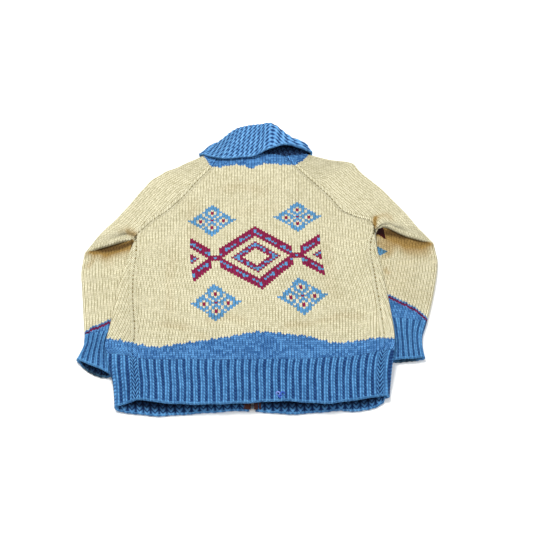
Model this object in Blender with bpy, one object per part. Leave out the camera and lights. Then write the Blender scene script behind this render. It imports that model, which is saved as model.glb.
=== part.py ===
"""Shawl-collared raglan cardigan in bulky wool, laid face down with its back up.

Lengths are in millimetres and turn into metres in the meshes. x runs across the back from its centre
line, y from hem to neck, z up from the surface. "left" is the wearer's left, at negative x. The fronts
lie on the surface, the sleeves are folded down beside the body and partly under it, the back lies on
top, and the collar stands up from the neck, rolls over and falls on the upper back and, beneath, on
the fronts.
"""

import math

import bpy
import numpy as np

MM = 0.001
WALL = 4.5  # knitted cloth of thick single-ply wool
HALF_WALL = WALL / 2
RIB_RISE = 2.2  # how far a knit rib stands above the purl between two ribs
SEAM_GAP = 0.3
ARM_HEIGHT = 12.5  # flattened sleeve: two walls and the air between them
LAPEL_LIFT = 7.2  # the fronts rise this far where the collar's fall lies under them
ZIP_SLOT = 7.0  # from the centre line to each front edge
CENTRE_X = 0.0
ARMPIT_LEVEL = 70.0  # the side levels are keyed to this height, the mean of both armpits

# Columns: y, left side x, right side x
BODY_SIDES = (
    (-372, -272, 275),
    (-310, -282, 279),
    (-266, -294, 284),
    (-232, -304, 292),
    (-205, -301, 293),
    (-150, -295, 290),
    (-65, -287, 281),
    (30, -268, 271),
    (60, -263, 271),
    (80, -263, 271),
)
# Columns: y from the armpit's level, outer top, underside at the body's side edge
SIDE_LEVELS = (
    (-372, 16, 0),
    (-335, 19, 4),
    (-306, 26, 14),
    (-285, 30, 17.5),
    (-266, 31, 18),
    (-190, 30.5, 18),
    (-150, 29, 16),
    (-60, 27, 14),
    (0, 26.5, 14),
    (34, 26, 13.6),
    (54, 20, 5),
    (70, 17.5, 0),
    (130, 17, 0),
    (220, 18.5, 0),
    (310, 20.5, 0),
)
# Columns: y, outer top of the back along its middle
MIDDLE_LEVELS = (
    (-372, 27),
    (-300, 23),
    (-240, 17),
    (-180, 13.8),
    (-60, 12.8),
    (100, 13.4),
    (150, 15.5),
    (190, 20.5),
    (225, 21.5),
    (310, 21.5),
)
# Columns: y from the armpit's level, how far the sleeve lies under the body
TUCKS = (
    (-320, 2),
    (-290, 4),
    (-266, 8),
    (-190, 14),
    (-150, 20),
    (-60, 26),
    (-10, 14),
    (26, -0.8),
    (80, -0.8),
)
# Columns: y, distance of the side seam from the middle of the side roll, measured over the cloth
LEFT_SEAM = ((-372, 43), (-289, 48), (-224, 56), (-121, 37), (-50, 25), (10, 14), (60, 0))
RIGHT_SEAM = ((-372, 19), (-224, 22), (-50, 18), (30, 13), (80, 0))
# Columns: x, y, from the armpit up to the neck
LEFT_RAGLAN = ((-263, 60), (-230, 100), (-200, 126), (-163, 169), (-131, 217), (-102, 254), (-84, 290))
RIGHT_RAGLAN = ((271, 80), (263, 100), (237, 109), (204, 126), (171, 172), (127, 223), (92, 264), (73, 290))
# Columns: x, y, outer edge of the sleeve from the armpit's row up to the neck
LEFT_SHOULDER = ((-318, 105), (-295, 138), (-261, 197), (-239, 227), (-188, 261), (-144, 289), (-120, 297))
RIGHT_SHOULDER = ((342, 130), (317, 167), (293, 197), (254, 242), (232, 271), (179, 288), (126, 297))
# Columns: y at the underarm, outer x, outer y, crown above the edges, upward bow near the body
LEFT_ARM = (
    (50, -343, 76, 7, 4),
    (38, -373, 6, 10, 8),
    (14, -377, -26, 0.5, 4),
    (-15, -375, -45, 1, 0),
    (-65, -370, -78, 1.5, 0),
    (-115, -363, -125, 1, 0),
    (-155, -357, -165, 0.5, 0),
    (-183, -352, -196, 0, 0),
)
RIGHT_ARM = (
    (68, 375, 84, 7, 16),
    (56, 399, 36, 10, 24),
    (32, 405, -5, 0.5, 10),
    (0, 400, -35, 1, 0),
    (-45, 391, -75, 1.5, 0),
    (-90, 382, -110, 1, 0),
    (-125, 374, -137, 0.5, 0),
    (-152, 366, -163, 0, 0),
)
LIP_ROW = 1  # the row of those tables where the upper arm ends in a rounded lip above the lower one
# Columns: distance down the arm from the lip's line, share of the drop there
LIP_STEPS = ((-8.0, 0.0), (-1.5, 0.14), (4.0, 0.7), (12.0, 1.0))
LIP_ROOM_ABOVE = 14.0  # with less cloth than this above the line, or below it, the steps draw together
LIP_ROOM_BELOW = 28.0
# Columns: y at the underarm, outer x, outer y, height at the edges, crown above them
LEFT_CUFF = (
    (-183, -352, -196, 12.5, 0),
    (-215, -350, -222, 14, 1),
    (-255, -356, -245, 15, 1.5),
    (-295, -361, -262, 15, 4),
)
RIGHT_CUFF = (
    (-152, 366, -163, 12.5, 0),
    (-190, 353, -195, 14, 1),
    (-225, 350, -225, 15, 1.5),
    (-261, 354, -258, 15, 4),
)
CUFF_RIBS = 12  # across the upper half
# Columns: x, y
RIB_TOP = ((-304, -243), (-271, -252), (-107, -260), (0, -260), (157, -255), (260, -246), (293, -240))
HEM_BACK = (
    (-272, -368),
    (-258, -361),
    (-234, -352),
    (-188, -359),
    (-16, -361),
    (57, -356),
    (153, -361),
    (275, -338),
)
HEM_FRONT = (
    (-272, -368),
    (-190, -378),
    (-112, -373),
    (-13, -367),
    (75, -374),
    (175, -367),
    (275, -338),
)
HEM_RIBS = 34
FRONT_NECK_Y = 222.0  # top of the zip
# Columns: share of the way across the back, fold x, fold y, free edge x, y and z, roll radius
COLLAR_BACK = (
    (0.00, -98, 312, -131, 300, 11, 4.5),
    (0.03, -94, 316, -128, 299, 18, 5),
    (0.06, -89, 321, -121, 295, 23.5, 5.5),
    (0.12, -77, 332, -108, 285, 26, 6),
    (0.28, -47, 357, -74, 277, 26, 8),
    (0.45, -18, 371, -30, 279, 26.5, 9),
    (0.60, 12, 377, 5, 285, 29, 9),
    (0.74, 40, 368, 38, 300, 36, 9),
    (0.86, 76, 345, 80, 308, 39, 7),
    (0.94, 98, 327, 122, 300, 28, 6),
    (0.97, 106, 320, 134, 302, 20, 5.5),
    (1.00, 112, 316, 138, 304, 12, 4.5),
)
# Columns: share of the way from the side to the centre front, the same values
COLLAR_FRONT_LEFT = (
    (0.00, -98, 312, -131, 300, 11, 4.5),
    (0.06, -96, 310, -129, 298, 6, 4),
    (0.20, -88, 305, -112, 272, 2.4, 3.4),
    (0.33, -76, 299, -92, 254, 2.4, 3.4),
    (0.60, -50, 276, -62, 222, 2.4, 3.4),
    (1.00, -10, 240, -10, 188, 2.4, 3.4),
)
COLLAR_FRONT_RIGHT = (
    (0.00, 112, 316, 138, 304, 12, 4.5),
    (0.06, 107, 312, 136, 301, 6, 4),
    (0.20, 92, 306, 116, 272, 2.4, 3.4),
    (0.36, 68, 301, 88, 254, 2.4, 3.4),
    (0.60, 46, 276, 58, 222, 2.4, 3.4),
    (1.00, 10, 240, 10, 188, 2.4, 3.4),
)
COLLAR_RIBS = 20
STAND_MIDDLE_Z = 15.2  # the stand's two sides stand this high, plus or minus the next
STAND_HALF_HEIGHT = 5.8
STAND_GAP = 2 * SEAM_GAP  # between the neck edge and the stand's root
STAND_TURN = 22.0  # the stand turns over within this distance of each side of the neck
STAND_ROUND = 14.0  # and reaches its full height within this one
SIDE_HALF_X = 270.0  # about where both sides are, the start of the search for a seam
BODY_ROUND = 80.0  # width over which the back sinks from its side height to its middle height
BODY_ROUND_START = 9.0
SIDE_LIFT_WIDTH = 30.0  # width over which the fronts sink to the surface beside the sleeve
SIDE_LIFT_START = 3.0
LAPEL_TOP_Y = 283.0  # the collar's fall under the fronts: its line at the sides, its depth, its half width
LAPEL_DEPTH = 98.0
LAPEL_HALF_WIDTH = 125.0
LAPEL_RAMP_START = 30.0
LAPEL_RAMP = 24.0
NECK_BOW = 7.0  # how far the back's neck edge bows up in its middle
CAP_EDGE = 14.0  # width of the finer strip beside the raglan seam
CAP_CROWN = 4.0  # the upper arm's roundness at the armpit
ARMPIT_EXTRA = 1.5  # extra height of the arm just below the armpit

RAGLAN_STEPS = 8
BODY_STEPS = 10
WELT_STEPS = 2
RIB_PROFILE = (0.0, 0.75, 1.0, 0.75)  # share of the full rise at each step across one rib


def smooth(t):
    t = np.clip(t, 0.0, 1.0)
    return t * t * (3.0 - 2.0 * t)


def read(table, at, column=1):
    """A table's column at a value of its first column, on a smooth curve through the rows."""
    rows = sorted(table)
    keys = np.array([row[0] for row in rows], float)
    values = np.array([row[column] for row in rows], float)
    slopes = np.gradient(values, keys)
    at = float(np.clip(at, keys[0], keys[-1]))
    i = int(np.clip(np.searchsorted(keys, at) - 1, 0, len(keys) - 2))
    span = keys[i + 1] - keys[i]
    t = (at - keys[i]) / span
    return float(
        values[i] * (1 + 2 * t) * (1 - t) ** 2
        + values[i + 1] * t * t * (3 - 2 * t)
        + span * (slopes[i] * t * (1 - t) ** 2 - slopes[i + 1] * t * t * (1 - t))
    )


def even_points(points, count):
    """count + 1 points at even distances along a polyline."""
    points = np.array(points, float)
    along = np.concatenate([[0], np.cumsum(np.linalg.norm(np.diff(points, axis=0), axis=1))])
    at = np.linspace(0, along[-1], count + 1)
    return np.stack([np.interp(at, along, points[:, k]) for k in range(points.shape[1])], axis=1)


def sign_of(side):
    return -1.0 if side == "left" else 1.0


RAGLAN = {
    "left": even_points(LEFT_RAGLAN, RAGLAN_STEPS),
    "right": even_points(RIGHT_RAGLAN, RAGLAN_STEPS),
}
SHOULDER = {
    "left": even_points(LEFT_SHOULDER, RAGLAN_STEPS),
    "right": even_points(RIGHT_SHOULDER, RAGLAN_STEPS),
}


def armpit_y(side):
    return RAGLAN[side][0, 1]


def level_key(side, y):
    return y + (ARMPIT_LEVEL - armpit_y(side))


def side_x(side, y):
    """The body's edge below the armpit, and its raglan line above."""
    if y > armpit_y(side):
        return float(np.interp(y, RAGLAN[side][:, 1], RAGLAN[side][:, 0]))
    return read(BODY_SIDES, y, 1 if side == "left" else 2)


def nearest_side(x, y):
    """The nearer side and how far x lies inside it."""
    side = "left" if x < CENTRE_X else "right"
    return side, sign_of(side) * (side_x(side, y) - x)


def top_level(x, y):
    side, inside = nearest_side(x, y)
    at_side = read(SIDE_LEVELS, level_key(side, y), 1)
    in_middle = read(MIDDLE_LEVELS, y)
    return in_middle + (at_side - in_middle) * smooth(1 - (inside - BODY_ROUND_START) / BODY_ROUND)


def bottom_level(x, y):
    side, inside = nearest_side(x, y)
    edge_y = LAPEL_TOP_Y - LAPEL_DEPTH * (1 - min(1.0, abs(x) / LAPEL_HALF_WIDTH) ** 2)
    lapel = LAPEL_LIFT * smooth((y - edge_y + LAPEL_RAMP_START) / LAPEL_RAMP)
    if y > armpit_y(side):
        return lapel
    key = level_key(side, y)
    beyond = inside - read(TUCKS, key) - SIDE_LIFT_START
    lift = read(SIDE_LEVELS, key, 2) * smooth(1 - beyond / SIDE_LIFT_WIDTH)
    return max(lapel, lift)


def level_normal(level, x, y, upward):
    step = 1.5
    slope_x = (level(x + step, y) - level(x - step, y)) / (2 * step)
    slope_y = (level(x, y + step) - level(x, y - step)) / (2 * step)
    normal = np.array([-slope_x, -slope_y, 1.0]) * upward
    return normal / np.linalg.norm(normal)


def on_top(x, y):
    """Middle of the upper wall, and the way out of the garment there."""
    return np.array([x, y, top_level(x, y) - HALF_WALL]), level_normal(top_level, x, y, 1.0)


def on_bottom(x, y):
    return np.array([x, y, bottom_level(x, y) + HALF_WALL]), level_normal(bottom_level, x, y, -1.0)


def side_roll(side, y):
    """Middle height, middle radius and quarter length of the cloth's turn at the body's side."""
    key = level_key(side, y)
    top, bottom = read(SIDE_LEVELS, key, 1), read(SIDE_LEVELS, key, 2)
    radius = (top - bottom) / 2
    return (top + bottom) / 2, radius, radius - HALF_WALL


def round_side(side, over, y):
    """A point of the body's wall at a distance over the cloth from the middle of the side roll."""
    sign = sign_of(side)
    middle_z, radius, middle_radius = side_roll(side, y)
    quarter = middle_radius * math.pi / 2
    edge = side_x(side, min(y, armpit_y(side)))
    if abs(over) <= quarter:
        angle = over / middle_radius
        out = np.array([sign * math.cos(angle), 0.0, math.sin(angle)])
        centre = np.array([edge - sign * radius, y, middle_z])
        return centre + out * middle_radius, out
    x = edge - sign * (radius + abs(over) - quarter)
    return on_top(x, y) if over > 0 else on_bottom(x, y)


def seam_distance(side, y):
    return read(LEFT_SEAM if side == "left" else RIGHT_SEAM, y)


def quads(rows, columns, index):
    return [
        (index(r, c), index(r, c + 1), index(r + 1, c + 1), index(r + 1, c))
        for r in range(rows - 1)
        for c in range(columns - 1)
    ]


def add_mesh(name, points, faces, material):
    mesh = bpy.data.meshes.new(name)
    mesh.from_pydata([tuple(p) for p in np.asarray(points) * MM], [], faces)
    mesh.shade_smooth()
    mesh.set_sharp_from_angle(angle=math.radians(40))
    mesh.materials.append(material)
    obj = bpy.data.objects.new(name, mesh)
    bpy.context.scene.collection.objects.link(obj)
    return obj


def volume_of(points, faces):
    total = 0.0
    for face in faces:
        first = points[face[0]]
        for second, third in zip(face[1:-1], face[2:]):
            total += np.dot(first, np.cross(points[second], points[third]))
    return total


def shorter_cut(points, face):
    """Two triangles along the shorter diagonal, so that both sides of a seam turn the same way."""
    a, b, c, d = face
    if np.linalg.norm(points[a] - points[c]) < np.linalg.norm(points[b] - points[d]):
        return [(a, b, c), (a, c, d)]
    return [(a, b, d), (b, c, d)]


def add_wall(name, outer, inner, faces, material):
    """A closed wall between two sheets with the same faces, with a rim wherever the sheets end."""
    count = len(outer)
    points = np.concatenate([outer, inner])
    directed = {(face[i], face[(i + 1) % 4]) for face in faces for i in range(4)}
    walls = list(faces) + [tuple(v + count for v in reversed(face)) for face in faces]
    for a, b in sorted(directed):
        if (b, a) not in directed:
            walls += shorter_cut(points, (b, a, a + count, b + count))
    if volume_of(points, walls) < 0:
        walls = [tuple(reversed(face)) for face in walls]
    return add_mesh(name, points, walls, material)


class Sheet:
    """Rows and columns of points in the middle of a wall, with the way out at each."""

    def __init__(self, middle, normal):
        self.middle = np.array(middle, float)
        self.normal = np.array(normal, float)
        self.rise = np.zeros(self.middle.shape[:2])
        self.shift = np.zeros_like(self.middle)

    def face(self, distance):
        """The sheet moved along its normals, and flattened where it meets the surface beneath."""
        points = self.middle + self.shift + self.normal * distance[..., None]
        points[..., 2] = np.maximum(points[..., 2], 0.0)
        return points

    def outer(self):
        return self.face(HALF_WALL + self.rise)

    def inner(self):
        return self.face(0 * self.rise - HALF_WALL)

    def draw_in(self, column, rows, toward):
        """Moves an edge column half a seam gap towards another column, square to the edge."""
        for row in rows:
            last = len(self.middle) - 1
            along = self.middle[min(row + 1, last), column] - self.middle[max(row - 1, 0), column]
            across = self.middle[row, toward] - self.middle[row, column]
            across -= along * np.dot(across, along) / np.dot(along, along)
            self.shift[row, column] += across / np.linalg.norm(across) * SEAM_GAP / 2

    def add(self, name, material):
        rows, columns = self.rise.shape
        faces = quads(rows, columns, lambda r, c: r * columns + c)
        return add_wall(name, self.outer().reshape(-1, 3), self.inner().reshape(-1, 3), faces, material)


def row_y(share, x):
    """y of a row between the top of the hem rib and the armpits."""
    ends = [RAGLAN[side][0] for side in ("left", "right")]
    armpits = np.interp(x, (ends[0][0], ends[1][0]), (ends[0][1], ends[1][1]))
    return (1 - share) * read(RIB_TOP, x) + share * armpits


def hem_y(table, share, x):
    """y of a row of the hem rib, share 0 just under the panel and 1 at the hem."""
    top = read(RIB_TOP, x) - SEAM_GAP
    return (1 - share) * top + share * read(table, x)


def seam_point(side, y_at):
    """Where a row meets the side seam: its y is that of the row at the seam's own x."""
    x = sign_of(side) * SIDE_HALF_X
    for _ in range(4):
        y = y_at(x)
        x = round_side(side, seam_distance(side, y), y)[0][0]
    return x, y_at(x)


def top_row(y_at, shares):
    """A row of the back from seam to seam, at shares of its width."""
    ends = {side: seam_point(side, y_at) for side in ("left", "right")}
    points = []
    for share in shares:
        if share in (0.0, 1.0):
            side = "left" if share == 0.0 else "right"
            y = ends[side][1]
            points.append(round_side(side, seam_distance(side, y), y))
        else:
            x = (1 - share) * ends["left"][0] + share * ends["right"][0]
            points.append(on_top(x, y_at(x)))
    return points


def split(rows):
    return [[p for p, _ in row] for row in rows], [[n for _, n in row] for row in rows]


def make_back(material):
    shares = [0, 0.02, 0.06] + list(np.linspace(0.12, 0.88, 13)) + [0.94, 0.98, 1]
    shares = [float(s) for s in shares]
    rows = []
    for step in range(BODY_STEPS + 1):
        rows.append(top_row(lambda x, s=step / BODY_STEPS: row_y(s, x), shares))
    for step in range(1, RAGLAN_STEPS + 1):
        left, right = RAGLAN["left"][step], RAGLAN["right"][step]
        bow = NECK_BOW * (step / RAGLAN_STEPS) ** 4
        row = []
        for share in shares:
            x, y = (1 - share) * left + share * right
            row.append(on_top(x, y + bow * 4 * share * (1 - share)))
        rows.append(row)
    sheet = Sheet(*split(rows))
    for column, toward in ((0, 1), (-1, -2)):
        sheet.draw_in(column, range(len(rows)), toward)
    sheet.add("back", material)
    return sheet


def side_steps(side, y, count):
    """Distances over the cloth from under the side edge to the seam, closest round the roll."""
    quarter = side_roll(side, y)[2] * math.pi / 2
    seam = seam_distance(side, y)
    even = np.linspace(-quarter, seam, count + 1)
    if seam <= quarter * 1.05:
        return even
    half_roll = np.linspace(-quarter, quarter, count - 1)
    return np.concatenate([half_roll, [(quarter + seam) / 2, seam]])


ROLL_STEPS = 6
FRONT_SHARES = (0, 0.14, 0.28, 0.42, 0.56, 0.68, 0.79, 0.88, 0.95)
CAP_FINE_START = 0.82  # above the armpit the columns draw together from here to the raglan seam


def front_row(side, y_bottom, y_top):
    """A row of a front: across the surface, round the side and over the top to the side seam."""
    sign = sign_of(side)
    seam_y = seam_point(side, y_top)[1]
    start_x = sign * ZIP_SLOT
    edge_y = y_bottom(sign * SIDE_HALF_X)
    edge_x = side_x(side, min(edge_y, armpit_y(side))) - sign * side_roll(side, edge_y)[1]
    row = []
    for share in FRONT_SHARES:
        x = (1 - share) * start_x + share * edge_x
        row.append(on_bottom(x, y_bottom(x)))
    steps = side_steps(side, seam_y, ROLL_STEPS)
    for i, over in enumerate(steps):
        blend = i / (len(steps) - 1)
        y = (1 - blend) * edge_y + blend * seam_y
        if i == len(steps) - 1:
            over = seam_distance(side, seam_y)
        row.append(round_side(side, float(over), y))
    return row


def make_front(side, material):
    sign = sign_of(side)
    rows = []
    for step in range(BODY_STEPS + 1):
        at = lambda x, s=step / BODY_STEPS: row_y(s, x)
        rows.append(front_row(side, at, at))
    columns = len(rows[0])
    for step in range(1, RAGLAN_STEPS + 1):
        raglan_x, raglan_y = RAGLAN[side][step]
        share_up = step / RAGLAN_STEPS
        centre_y = armpit_y(side) + (FRONT_NECK_Y - armpit_y(side)) * share_up
        start_x = sign * ZIP_SLOT
        wide = np.array(FRONT_SHARES) * CAP_FINE_START
        fine = np.linspace(CAP_FINE_START, 1.0, columns - len(FRONT_SHARES))
        shares = [*wide, *fine]
        row = []
        for share in shares:
            x = (1 - share) * start_x + share * raglan_x
            row.append(on_bottom(x, centre_y + (raglan_y - centre_y) * share))
        rows.append(row)
    sheet = Sheet(*split(rows))
    sheet.draw_in(-1, range(len(rows)), -2)
    sheet.add("front_" + side, material)
    return sheet


def rib_phase(count):
    """Shares of the way across count ribs, and the rise at each."""
    steps = len(RIB_PROFILE)
    shares = np.linspace(0, 1, count * steps + 1)
    rises = [RIB_PROFILE[i % steps] for i in range(count * steps + 1)]
    return [float(s) for s in shares], np.array(rises)


def make_back_welt(material):
    shares, rises = rib_phase(HEM_RIBS)
    rows = []
    for step in range(WELT_STEPS + 1):
        rows.append(top_row(lambda x, s=step / WELT_STEPS: hem_y(HEM_BACK, s, x), shares))
    sheet = Sheet(*split(rows))
    sheet.rise = np.outer([0.15] + [1.0] * WELT_STEPS, rises) * RIB_RISE
    for column, toward in ((0, 3), (-1, -4)):
        sheet.draw_in(column, range(len(rows)), toward)
    sheet.add("welt_back", material)


def make_front_welt(side, material):
    """The side roll and the strip on top are ribbed. The rest lies flat on the surface."""
    rows = []
    for step in range(WELT_STEPS + 1):
        share = step / WELT_STEPS
        rows.append(
            front_row(
                side,
                lambda x, s=share: hem_y(HEM_FRONT, s, x),
                lambda x, s=share: hem_y(HEM_BACK, s, x),
            )
        )
    sheet = Sheet(*split(rows))
    rises = np.zeros(len(rows[0]))
    rises[-4:-1] = (1.0, 0.0, 1.0)
    sheet.rise = np.outer([0.15] + [1.0] * WELT_STEPS, rises) * RIB_RISE
    sheet.draw_in(-1, range(len(rows)), -2)
    sheet.add("welt_front_" + side, material)


ARM_ROLL = (0.0, 45.0, 90.0)
ARM_SHARES = (0.12, 0.25, 0.4, 0.55, 0.7, 0.85)


def crown_shape(share):
    return smooth(min(share, 1 - share) / 0.3)


def bow_shape(share):
    peak = 0.15
    return share / peak * math.exp(1 - share / peak)


class ArmRow:
    """One row round a flattened sleeve, from its underarm point over the top, round and back."""

    def __init__(self, inner, outer, inner_levels, outer_levels, crown=0.0, bow=0.0, closed=True):
        self.inner, self.outer = np.array(inner, float), np.array(outer, float)
        self.inner_levels, self.outer_levels = inner_levels, outer_levels
        self.crown, self.bow, self.closed = crown, bow, closed

    def plan(self, across):
        span = self.outer - self.inner
        width = np.linalg.norm(span)
        spot = self.inner + span * across / width
        return spot + np.array([0.0, self.bow * bow_shape(float(np.clip(across / width, 0, 1)))])

    def width(self):
        return float(np.linalg.norm(self.outer - self.inner))

    def levels(self, across):
        share = float(np.clip(across / self.width(), 0, 1))
        bottom = (1 - share) * self.inner_levels[0] + share * self.outer_levels[0]
        ease = share if self.closed else float(smooth(share))
        top = (1 - ease) * self.inner_levels[1] + ease * self.outer_levels[1]
        return bottom, top + self.crown * crown_shape(share)

    def spot(self, across, height):
        return np.array([*self.plan(across), height])

    def roll(self, levels, at_outer, upward):
        """The quarter turn at an edge, from its middle to the sheet."""
        bottom, top = levels
        radius = (top - bottom) / 2
        middle_radius = radius - HALF_WALL
        points = []
        for angle in ARM_ROLL:
            turn = math.radians(angle)
            in_from_edge = radius - middle_radius * math.cos(turn)
            across = self.width() - in_from_edge if at_outer else in_from_edge
            height = (top + bottom) / 2 + upward * middle_radius * math.sin(turn)
            points.append(self.spot(across, height))
        return points

    def sheet_points(self, shares, upward):
        start = (self.inner_levels[1] - self.inner_levels[0]) / 2 if self.closed else CAP_EDGE
        end = self.width() - (self.outer_levels[1] - self.outer_levels[0]) / 2
        points = []
        for share in shares:
            across = start + (end - start) * share
            bottom, top = self.levels(across)
            points.append(self.spot(across, top - HALF_WALL if upward > 0 else bottom + HALF_WALL))
        return points

    def open_edge(self, upward):
        """Above the armpit the sheet runs on to the raglan seam."""
        points = []
        for across in (0.0, CAP_EDGE / 2, CAP_EDGE):
            bottom, top = self.levels(across)
            points.append(self.spot(across, top - HALF_WALL if upward > 0 else bottom + HALF_WALL))
        return points

    def points(self, top_shares):
        halves = []
        for upward, shares in ((1, top_shares), (-1, ARM_SHARES)):
            start = self.roll(self.inner_levels, False, upward) if self.closed else self.open_edge(upward)
            end = self.roll(self.outer_levels, True, upward)[::-1]
            halves.append(start + self.sheet_points(shares, upward) + end)
        return halves[0] + halves[1][::-1][1:]


def arm_edge_x(side, y):
    return side_x(side, y) - sign_of(side) * read(TUCKS, level_key(side, y))


def lip_strength(share):
    """The lip fades out towards the underarm and the outer edge."""
    return float(smooth((share - 0.05) / 0.2) * smooth((0.97 - share) / 0.3))


def lip_rings(above, ring, following, top_count):
    """Rings over the rounded lip and down to the lower arm, in place of the one along its line."""
    rings = []
    for offset, drop in LIP_STEPS:
        stepped = []
        for c, spot in enumerate(ring):
            ahead, behind = following[c] - spot, spot - above[c]
            room, direction = (LIP_ROOM_ABOVE, behind) if offset < 0 else (LIP_ROOM_BELOW, ahead)
            direction = direction * (1, 1, 0)
            length = np.linalg.norm(direction)
            moved = spot + direction / length * offset * min(1.0, length / room)
            if 0 < c < top_count - 1:
                even = smooth((offset - LIP_STEPS[0][0]) / (LIP_STEPS[-1][0] - LIP_STEPS[0][0]))
                strength = lip_strength(c / (top_count - 1))
                share = strength * drop + (1 - strength) * even
                moved[2] = (1 - share) * spot[2] + share * following[c][2]
            stepped.append(moved)
        rings.append(stepped)
    return rings


def grid_normals(points, columns_close):
    """Normals of a grid from its neighbours, round the whole ring on rows that close."""
    rows, columns = points.shape[:2]
    normals = np.zeros_like(points)
    for r in range(rows):
        along = points[min(r + 1, rows - 1)] - points[max(r - 1, 0)]
        for c in range(columns):
            if columns_close[r] and c in (0, columns - 1):
                across = points[r, 1] - points[r, columns - 2]
            else:
                across = points[r, min(c + 1, columns - 1)] - points[r, max(c - 1, 0)]
            normal = np.cross(across, along[c])
            normals[r, c] = normal / np.linalg.norm(normal)
    return normals


def add_tube(name, sheet, closed_rows, material):
    """A wall whose rows are rings where closed_rows says so, and open above."""
    rows, columns = sheet.rise.shape

    def index(r, c):
        return r * columns + (0 if closed_rows[r] and c == columns - 1 else c)

    faces = quads(rows, columns, index)
    used = sorted({v for face in faces for v in face})
    renumber = {v: i for i, v in enumerate(used)}
    faces = [tuple(renumber[v] for v in face) for face in faces]
    outer = sheet.outer().reshape(-1, 3)[used]
    inner = sheet.inner().reshape(-1, 3)[used]
    return add_wall(name, outer, inner, faces, material)


def arm_rows(side):
    """The sleeve's rows from the neck down: the raglan cap, the armpit, then the arm."""
    rows = []
    for step in range(RAGLAN_STEPS, -1, -1):
        inner, outer = RAGLAN[side][step], SHOULDER[side][step]
        top = top_level(*inner) if step else read(SIDE_LEVELS, ARMPIT_LEVEL, 1)
        bottom = bottom_level(*inner) if step else 0.0
        outer_bottom = bottom_level(*outer)
        levels = (outer_bottom, outer_bottom + ARM_HEIGHT)
        crown = CAP_CROWN * (1 - step / RAGLAN_STEPS) ** 2
        rows.append(ArmRow(inner, outer, (bottom, top), levels, crown, 0.0, closed=step == 0))
    table = LEFT_ARM if side == "left" else RIGHT_ARM
    for i, (under_y, outer_x, outer_y, crown, bow) in enumerate(table):
        inner = (arm_edge_x(side, under_y), under_y)
        height = ARM_HEIGHT + (ARMPIT_EXTRA if i == 0 else 0.0)
        rows.append(ArmRow(inner, (outer_x, outer_y), (0, height), (0, ARM_HEIGHT), crown, bow))
    return rows


def square_to_neck(sheet, neck_row):
    """Turns the normals of the first row into its own upright plane, so that its rim is flat there."""
    along = np.array([*(neck_row.outer - neck_row.inner), 0.0]) / neck_row.width()
    for column, normal in enumerate(sheet.normal[0]):
        upright = along * np.dot(normal, along) + np.array([0.0, 0.0, normal[2]])
        sheet.normal[0, column] = upright / np.linalg.norm(upright)


def make_sleeve(side, body, front, material):
    rows = arm_rows(side)
    lip = RAGLAN_STEPS + 1 + LIP_ROW
    rings = [np.array(row.points(ARM_SHARES)) for row in rows]
    points = rings[:lip] + lip_rings(*rings[lip - 1 : lip + 2], len(rings[lip]) // 2 + 1) + rings[lip + 1 :]
    closed = [row.closed for row in rows[:lip]] + [True] * (len(points) - lip)
    points = np.array(points)
    normals = grid_normals(points, closed)
    sheet = Sheet(points, normals)
    if np.dot(sheet.normal[0, 5], (0, 0, 1)) < 0:
        sheet.normal *= -1
    square_to_neck(sheet, rows[0])
    for step in range(1, RAGLAN_STEPS + 1):
        row = RAGLAN_STEPS - step
        sheet.normal[row, 0] = body.normal[BODY_STEPS + step, 0 if side == "left" else -1]
        sheet.normal[row, -1] = front.normal[BODY_STEPS + step, -1]
    open_rows = range(RAGLAN_STEPS)
    sheet.draw_in(0, open_rows, 1)
    sheet.draw_in(-1, open_rows, -2)
    sheet.shift[RAGLAN_STEPS, (0, -1), 0] += sign_of(side) * SEAM_GAP
    add_tube("sleeve_" + side, sheet, closed, material)
    return sheet


def make_cuff(side, material):
    table = LEFT_CUFF if side == "left" else RIGHT_CUFF
    shares, rises = rib_phase(CUFF_RIBS)
    points = []
    for i, (under_y, outer_x, outer_y, height, crown) in enumerate(table):
        inner = np.array((arm_edge_x(side, under_y), under_y))
        row = ArmRow(inner, (outer_x, outer_y), (0, height), (0, height), crown)
        ring = np.array(row.points(shares[1:-1]))
        if i == 0:
            ring[:, 1] -= 2 * SEAM_GAP
        points.append(ring)
    points = np.array(points)
    closed = [True] * len(points)
    sheet = Sheet(points, grid_normals(points, closed))
    if np.dot(sheet.normal[0, 5], (0, 0, 1)) < 0:
        sheet.normal *= -1
    for row in range(len(points)):
        level = 0.15 if row == 0 else 1.0
        sheet.rise[row, 3 : 3 + len(rises) - 2] = rises[1:-1] * RIB_RISE * level
        sheet.rise[row, : 2 * len(RIB_PROFILE)] = 0.0
    add_tube("cuff_" + side, sheet, closed, material)


def neck_ring(back, fronts, sleeves):
    """The neck edges of the pieces in turn, from the left front's zip edge to the right's."""
    parts = [
        (fronts["left"].middle[-1], fronts["left"].normal[-1]),
        (sleeves["left"].middle[0][::-1], sleeves["left"].normal[0][::-1]),
        (back.middle[-1], back.normal[-1]),
        (sleeves["right"].middle[0], sleeves["right"].normal[0]),
        (fronts["right"].middle[-1][::-1], fronts["right"].normal[-1][::-1]),
    ]
    points = np.concatenate([p for p, _ in parts])
    normals = np.concatenate([n for _, n in parts])
    steps = np.linalg.norm(np.diff(points, axis=0), axis=1)
    keep = np.concatenate([[True], steps > 1e-6])
    return points[keep], normals[keep]


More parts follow.
